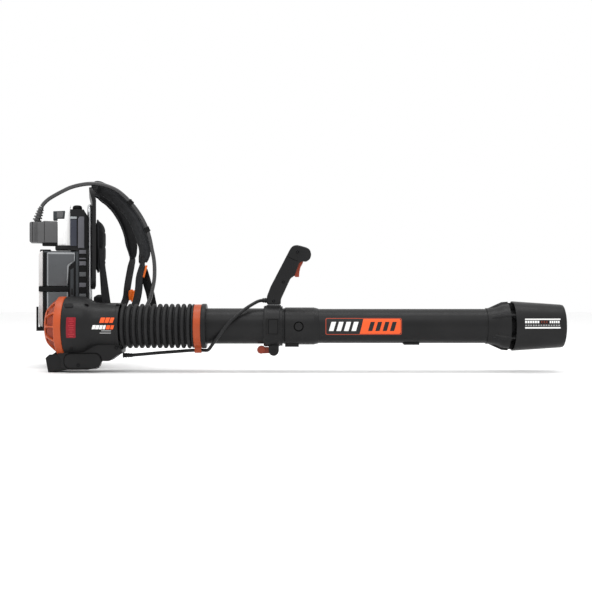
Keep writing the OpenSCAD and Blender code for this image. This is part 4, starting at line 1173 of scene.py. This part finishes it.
# frame around the modules: a black shelf between them, the latch column, a pale strip and the ribbed column
wall("hub_shelf_face", rect(-160.8, -88, -107.4, -119.6), -106.4, 106.4, SOFT_BLACK, "black_plastic", bevel=1.0)
for side, v0, v1 in (("near", -107.0, -104.6), ("far", 104.6, 107.0)):
    near = v0 < 0
    push = lambda d: (v0 - d, v1) if near else (v0, v1 + d)
    wall(f"latch_column_{side}", [(-87, -56.5), (-72, -47), (-71, -47), (-71, -206), (-87, -206)], v0, v1,
        SOFT_BLACK, "black_plastic", bevel=0.8)
    wall(f"latch_strip_{side}", [(-83.6, -66), (-75.6, -60.5), (-75.6, -204), (-83.6, -204)], *push(0.7), GREY_DARK,
        "grey_plastic", bevel=0.7)
    wall(f"latch_grip_{side}", rect(-82, -77.4, -112, -128), *push(1.5), CHARCOAL, "black_plastic", bevel=0.6)
    wall(f"light_column_{side}", rect(-70.4, -63.4, -20, -206), *push(0.5), GREY_DARK, "grey_plastic", bevel=0.8)
    wall(f"rib_column_{side}", rect(-62.6, -43.6, -16.8, -206), v0 + (1.8 if near else -1),
        v1 - (1.8 if not near else -1), SOFT_BLACK, "black_plastic", bevel=0.5)
    for k, (z, h) in enumerate(((-20.7, 9.4), (-37.4, 3.4), (-49.3, 10.4), (-76.8, 11.6), (-103.4, 11), (-131, 11.2),
            (-158.2, 11.2), (-185.4, 11.2))):
        wall(f"rib_{side}_{k}", rect(-61.8, -45, z - h / 2, z + h / 2), *push(1.0),
            PURPLE_GREY if k % 2 == 0 or k == 1 else GREY, "grey_plastic", bevel=1.4)
    # upper box: a pale top band, a dark blue panel, a violet panel
    wall(f"hub_band_{side}", rect(-84.4, -68, 61.8, 67.6), *push(0.4), GREY_PALE, "grey_plastic", bevel=0.5)
    wall(f"hub_panel_a_{side}", rect(-84, -68, -6, 60.4), *push(0.2), BLUE_GREY, "grey_plastic", bevel=1.2)
    wall(f"hub_panel_b_{side}", [(-65, -11), (-49.5, -11), (-49.5, 68), (-61, 68), (-65, 63)], *push(0.8),
        PURPLE_GREY, "grey_plastic", bevel=1.8)
    wall(f"hub_edge_{side}", [(-48, -12), (-40, -12), (-40, 65), (-48, 76)], *push(0.2), SOFT_BLACK, "black_plastic",
        bevel=1.0)

# socket, flange and plug
wall("socket_flange", [(-95.2, -4.2), (-84.2, -4.2), (-84.2, 97), (-86, 99), (-92.4, 99), (-95.2, 96)], -89.2, -32.8,
    WHITE, "white_plastic", bevel=1.2, nodes=("power_socket",))
wall("socket_block", rect(-115.4, -95.3, -4.1, 62.4), -86, -36, WHITE, "white_plastic", bevel=1.5)
wall("plug_shell", [(-184, 6), (-181, 2.8), (-116, 2.8), (-116, 57), (-128, 57), (-149, 57.6), (-154, 55),
    (-181, 55), (-184, 52)], -86.2, -35.8, PLUG_GREY, "charcoal_plastic", bevel=2.6, nodes=("power_plug",),
    corner=1.6)
wall("plug_base", rect(-153, -116.2, -4, 4.5), -85, -37, SOFT_BLACK, "black_plastic", bevel=1.0)
for k, (u, w) in enumerate(((-176.5, 1.1), (-170.5, 0.7), (-147.8, 1.0), (-166, 0.7))):
    wall(f"plug_line_{k}", rect(u - w / 2, u + w / 2, 3.8, 55), -86.9, -84, SOFT_BLACK, "black_plastic", bevel=0.2)
relief_at, relief_to = P(-168, -61, 55.8), P(-155.5, -61, 95)
relief_line = [(0, 4.9), (0, 7.4), (3.2, 7.4), (3.4, 11.2), (7.2, 11.0), (7.4, 6.9), (10.6, 6.9), (10.8, 10.4),
    (14.6, 10.2), (14.8, 6.6), (18, 6.6), (18.2, 9.6), (21.8, 9.4), (22, 6.3), (25, 6.3), (25.2, 8.8), (28.6, 8.6),
    (28.8, 6.1), (31.6, 6.1), (31.8, 8.0), (34.8, 7.8), (35, 6.0), (40.5, 5.8), (40.5, 4.9)]
turned_relief("plug_sleeve", relief_at, relief_to, relief_line, CORD, "pack", "rubber")
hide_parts("plug_relief")
wall("plug_latch_post", [(-126.6, 60.2), (-115, 60.2), (-115, 65.2), (-99.4, 65.2), (-97.4, 84.6), (-126.6, 83)],
    -73.8, -48.2, GREY_DARK, "charcoal_plastic", "latch", 1.4, ("plug_latch",), 1.2)
wall("plug_latch_strip", [(-118, 66.4), (-103, 66.8), (-102, 82.6), (-117.4, 81.8)], -75.2, -72, PLUG_GREY,
    "grey_plastic", "latch", 0.8)

# base bracket: four ribs under it
for v in (-90, -30, 30, 90):
    put(prism(f"base_rib_{v}", rect(-158, -92, -209.2, -207.4), v - 2, v + 2, P, SOFT_BLACK, 0.4), "pack",
        "black_plastic")


# ---------- webbing, buckles, clips ----------

for name, line, v, tilt, width, thick, node in (("webbing_near_strap", near_web, -84, (15, 42), 25.5, 2.8,
        "webbing_near"), ("webbing_near_tail", near_tail, -86, (30, 50), 25.5, 2.4, None),
        ("webbing_far_strap", far_web, 76, (-30, -45), 25.5, 2.8, "webbing_far")):
    path = curve_points([(u, v, z) for u, z in line], 8)
    # the far strap's webbing takes the darker copy as painted shade; the near tail takes it too
    band, rail = strip(name, path, width, thick, easing(len(path), *tilt), WEBBING_DARK
        if "far" in name or "tail" in name else WEBBING_GREY, 0.35, 20, 60)
    put(band, "pack", "webbing_fabric", *([node] if node else []))
    sides = []
    for side in (-0.46, 0.46):
        sides.append(sweep(name + "_selvedge", [P(*(c + a * w * side)) for c, a, o, w, t in rail], 0.0014, WEBBING,
            8))
    put(join(name + "_selvedge", sides), "pack", "webbing_fabric")

waist_outline = [(-14, -12), (-2, -12), (3, -60), (16, -152), (19, -206), (2, -206), (-5, -152), (-10, -70)]
for name, v0, v1 in (("waist_wing_near", -108.4, -105.2), ("waist_wing_far", 105.2, 108.4)):
    wing = prism(name, waist_outline, v0, v1, P, WEBBING, 1.0, 3, 2.5)
    layer = wing.data.uv_layers.new(name="strip")
    for loop in wing.data.loops:
        co = wing.data.vertices[loop.vertex_index].co
        layer.data[loop.index].uv = (co.x, co.z)
    put(wing, "pack", "webbing_fabric", *(["waist_strap"] if "near" in name else []))


def ladder_lock(name, u, v, z, turn):
    """A moulded three-bar slider with two slots, standing across the webbing."""
    outer = rounded_box(-16, 16, -16, 16, 3.4, 5)
    bm = bmesh.new()
    rings = [[(x, y) for x, y in outer]]
    for cz in (7.2, -7.2):
        rings.append(rounded_box(-13.3, 13.3, cz - 4.3, cz + 4.3, 1.6, 5))
    edges = []
    for ring in rings:
        vs = [bm.verts.new((x, y, 0)) for x, y in ring]
        edges += [bm.edges.new((vs[i], vs[(i + 1) % len(vs)])) for i in range(len(vs))]
    bmesh.ops.triangle_fill(bm, edges=edges, use_beauty=True, use_dissolve=False)
    out = bmesh.ops.extrude_face_region(bm, geom=bm.faces[:])["geom"]
    bmesh.ops.translate(bm, vec=(0, 0, 4.8), verts=[g for g in out if isinstance(g, bmesh.types.BMVert)])
    bmesh.ops.translate(bm, vec=(0, 0, -2.4), verts=bm.verts[:])
    sharp = [e for e in bm.edges if len(e.link_faces) == 2 and e.calc_face_angle(0) > 1.2]
    soften(bm, sharp, 1.1, 3)
    spin = Matrix.Rotation(math.radians(turn), 3, "Y")
    for w in bm.verts:
        x, y, d = w.co
        bow = 1.4 * (1 - (x / 16) ** 2)
        local = spin @ Vector((d + bow, x, y))
        w.co = P(u + local.x, v + local.y, z + local.z)
    return from_bmesh(name, bm, BUCKLE, 40)


put(ladder_lock("buckle_near", 101.3, -90, -68.5, 14), "pack", "orange_plastic", "strap_buckles")
put(ladder_lock("buckle_far", 78, 74, -131, 14), "pack", "orange_plastic")

# the far buckle's broad release tab
tab = prism("buckle_far_tab", [(66, -117), (76, -112), (85, -125), (80.5, -139.5), (68, -144), (65.5, -130)], 68, 73,
    P, BUCKLE, 1.4, 3, 2.5)
put(tab, "pack", "orange_plastic")


def cord_clip(name, at, turn):
    """A small moulded saddle: a square block with soft edges, and a lip on each side of the cord."""
    u, v, z = at
    spin = Matrix.Rotation(math.radians(turn), 3, "Y")
    parts = []
    for part, outline, low, high in (("block", rounded_box(-6.2, 6.2, -6.2, 6.2, 2.2, 4), -6.5, 6.5),
            ("lip", rounded_box(-7.0, 7.0, -7.0, 7.0, 2.6, 4), -5.2, -3.4), ("lip",
            rounded_box(-7.0, 7.0, -7.0, 7.0, 2.6, 4), 3.4, 5.2)):
        place = lambda a, b, c: P(*(Vector((u, v, z)) + spin @ Vector((a, c, b))))
        parts.append(prism(f"{name}_{part}", outline, low, high, place, SOFT_BLACK, 0.6, 2))
    return join(name, parts)


put(cord_clip("cord_clip_upper", cord_pack[12], 138.3), "pack", "black_plastic", "cord_clips")
put(cord_clip("cord_clip_lower", cord_pack[15], 155.3), "pack", "black_plastic")

# ---------- every carried-over CAD piece gets its material ----------

SURFACES = {"charcoal_plastic": CHARCOAL, "black_plastic": SOFT_BLACK, "orange_plastic": ORANGE,
    "grey_plastic": GREY_DARK, "silver_plastic": SILVER, "white_plastic": WHITE, "rubber": RUBBER,
    "frame_aluminium": ALUMINIUM, "steel": STEEL, "copper": COPPER, "cell_steel": CELL, "board_green": BOARD,
    "pad_fabric": PAD_MESH, "strap_fabric": STRAP_MESH, "webbing_fabric": WEBBING_GREY}
# mount_arm takes black plastic as painted shade where it shows behind the other parts
SPECIAL = {"fan_impeller": SOFT_BLACK, "stator_vanes": SOFT_BLACK, "trigger": BURNT, "clamp_lever": BURNT,
    "tube_button": CHARCOAL, "lever_pin": DARK_STEEL, "base_bracket": SOFT_BLACK, "mount_arm": SOFT_BLACK,
    "mount_bracket": CHARCOAL, "swivel_band": ORANGE}
for row in frame["record"]["subparts"]:
    obj = frame["nodes"][row["node"]]
    obj.data.materials.clear()
    obj.data.materials.append(SPECIAL.get(row["node"], SURFACES[row["material_slot"]]))

FLOOR_HALF, floor_z = 9, cad_low[2] - 0.0005
floor_corners = [(x, y, floor_z) for x, y in rect(-FLOOR_HALF, FLOOR_HALF, -FLOOR_HALF, FLOOR_HALF)]
floor = make("floor", floor_corners, [(0, 1, 2, 3)], floor_paint())
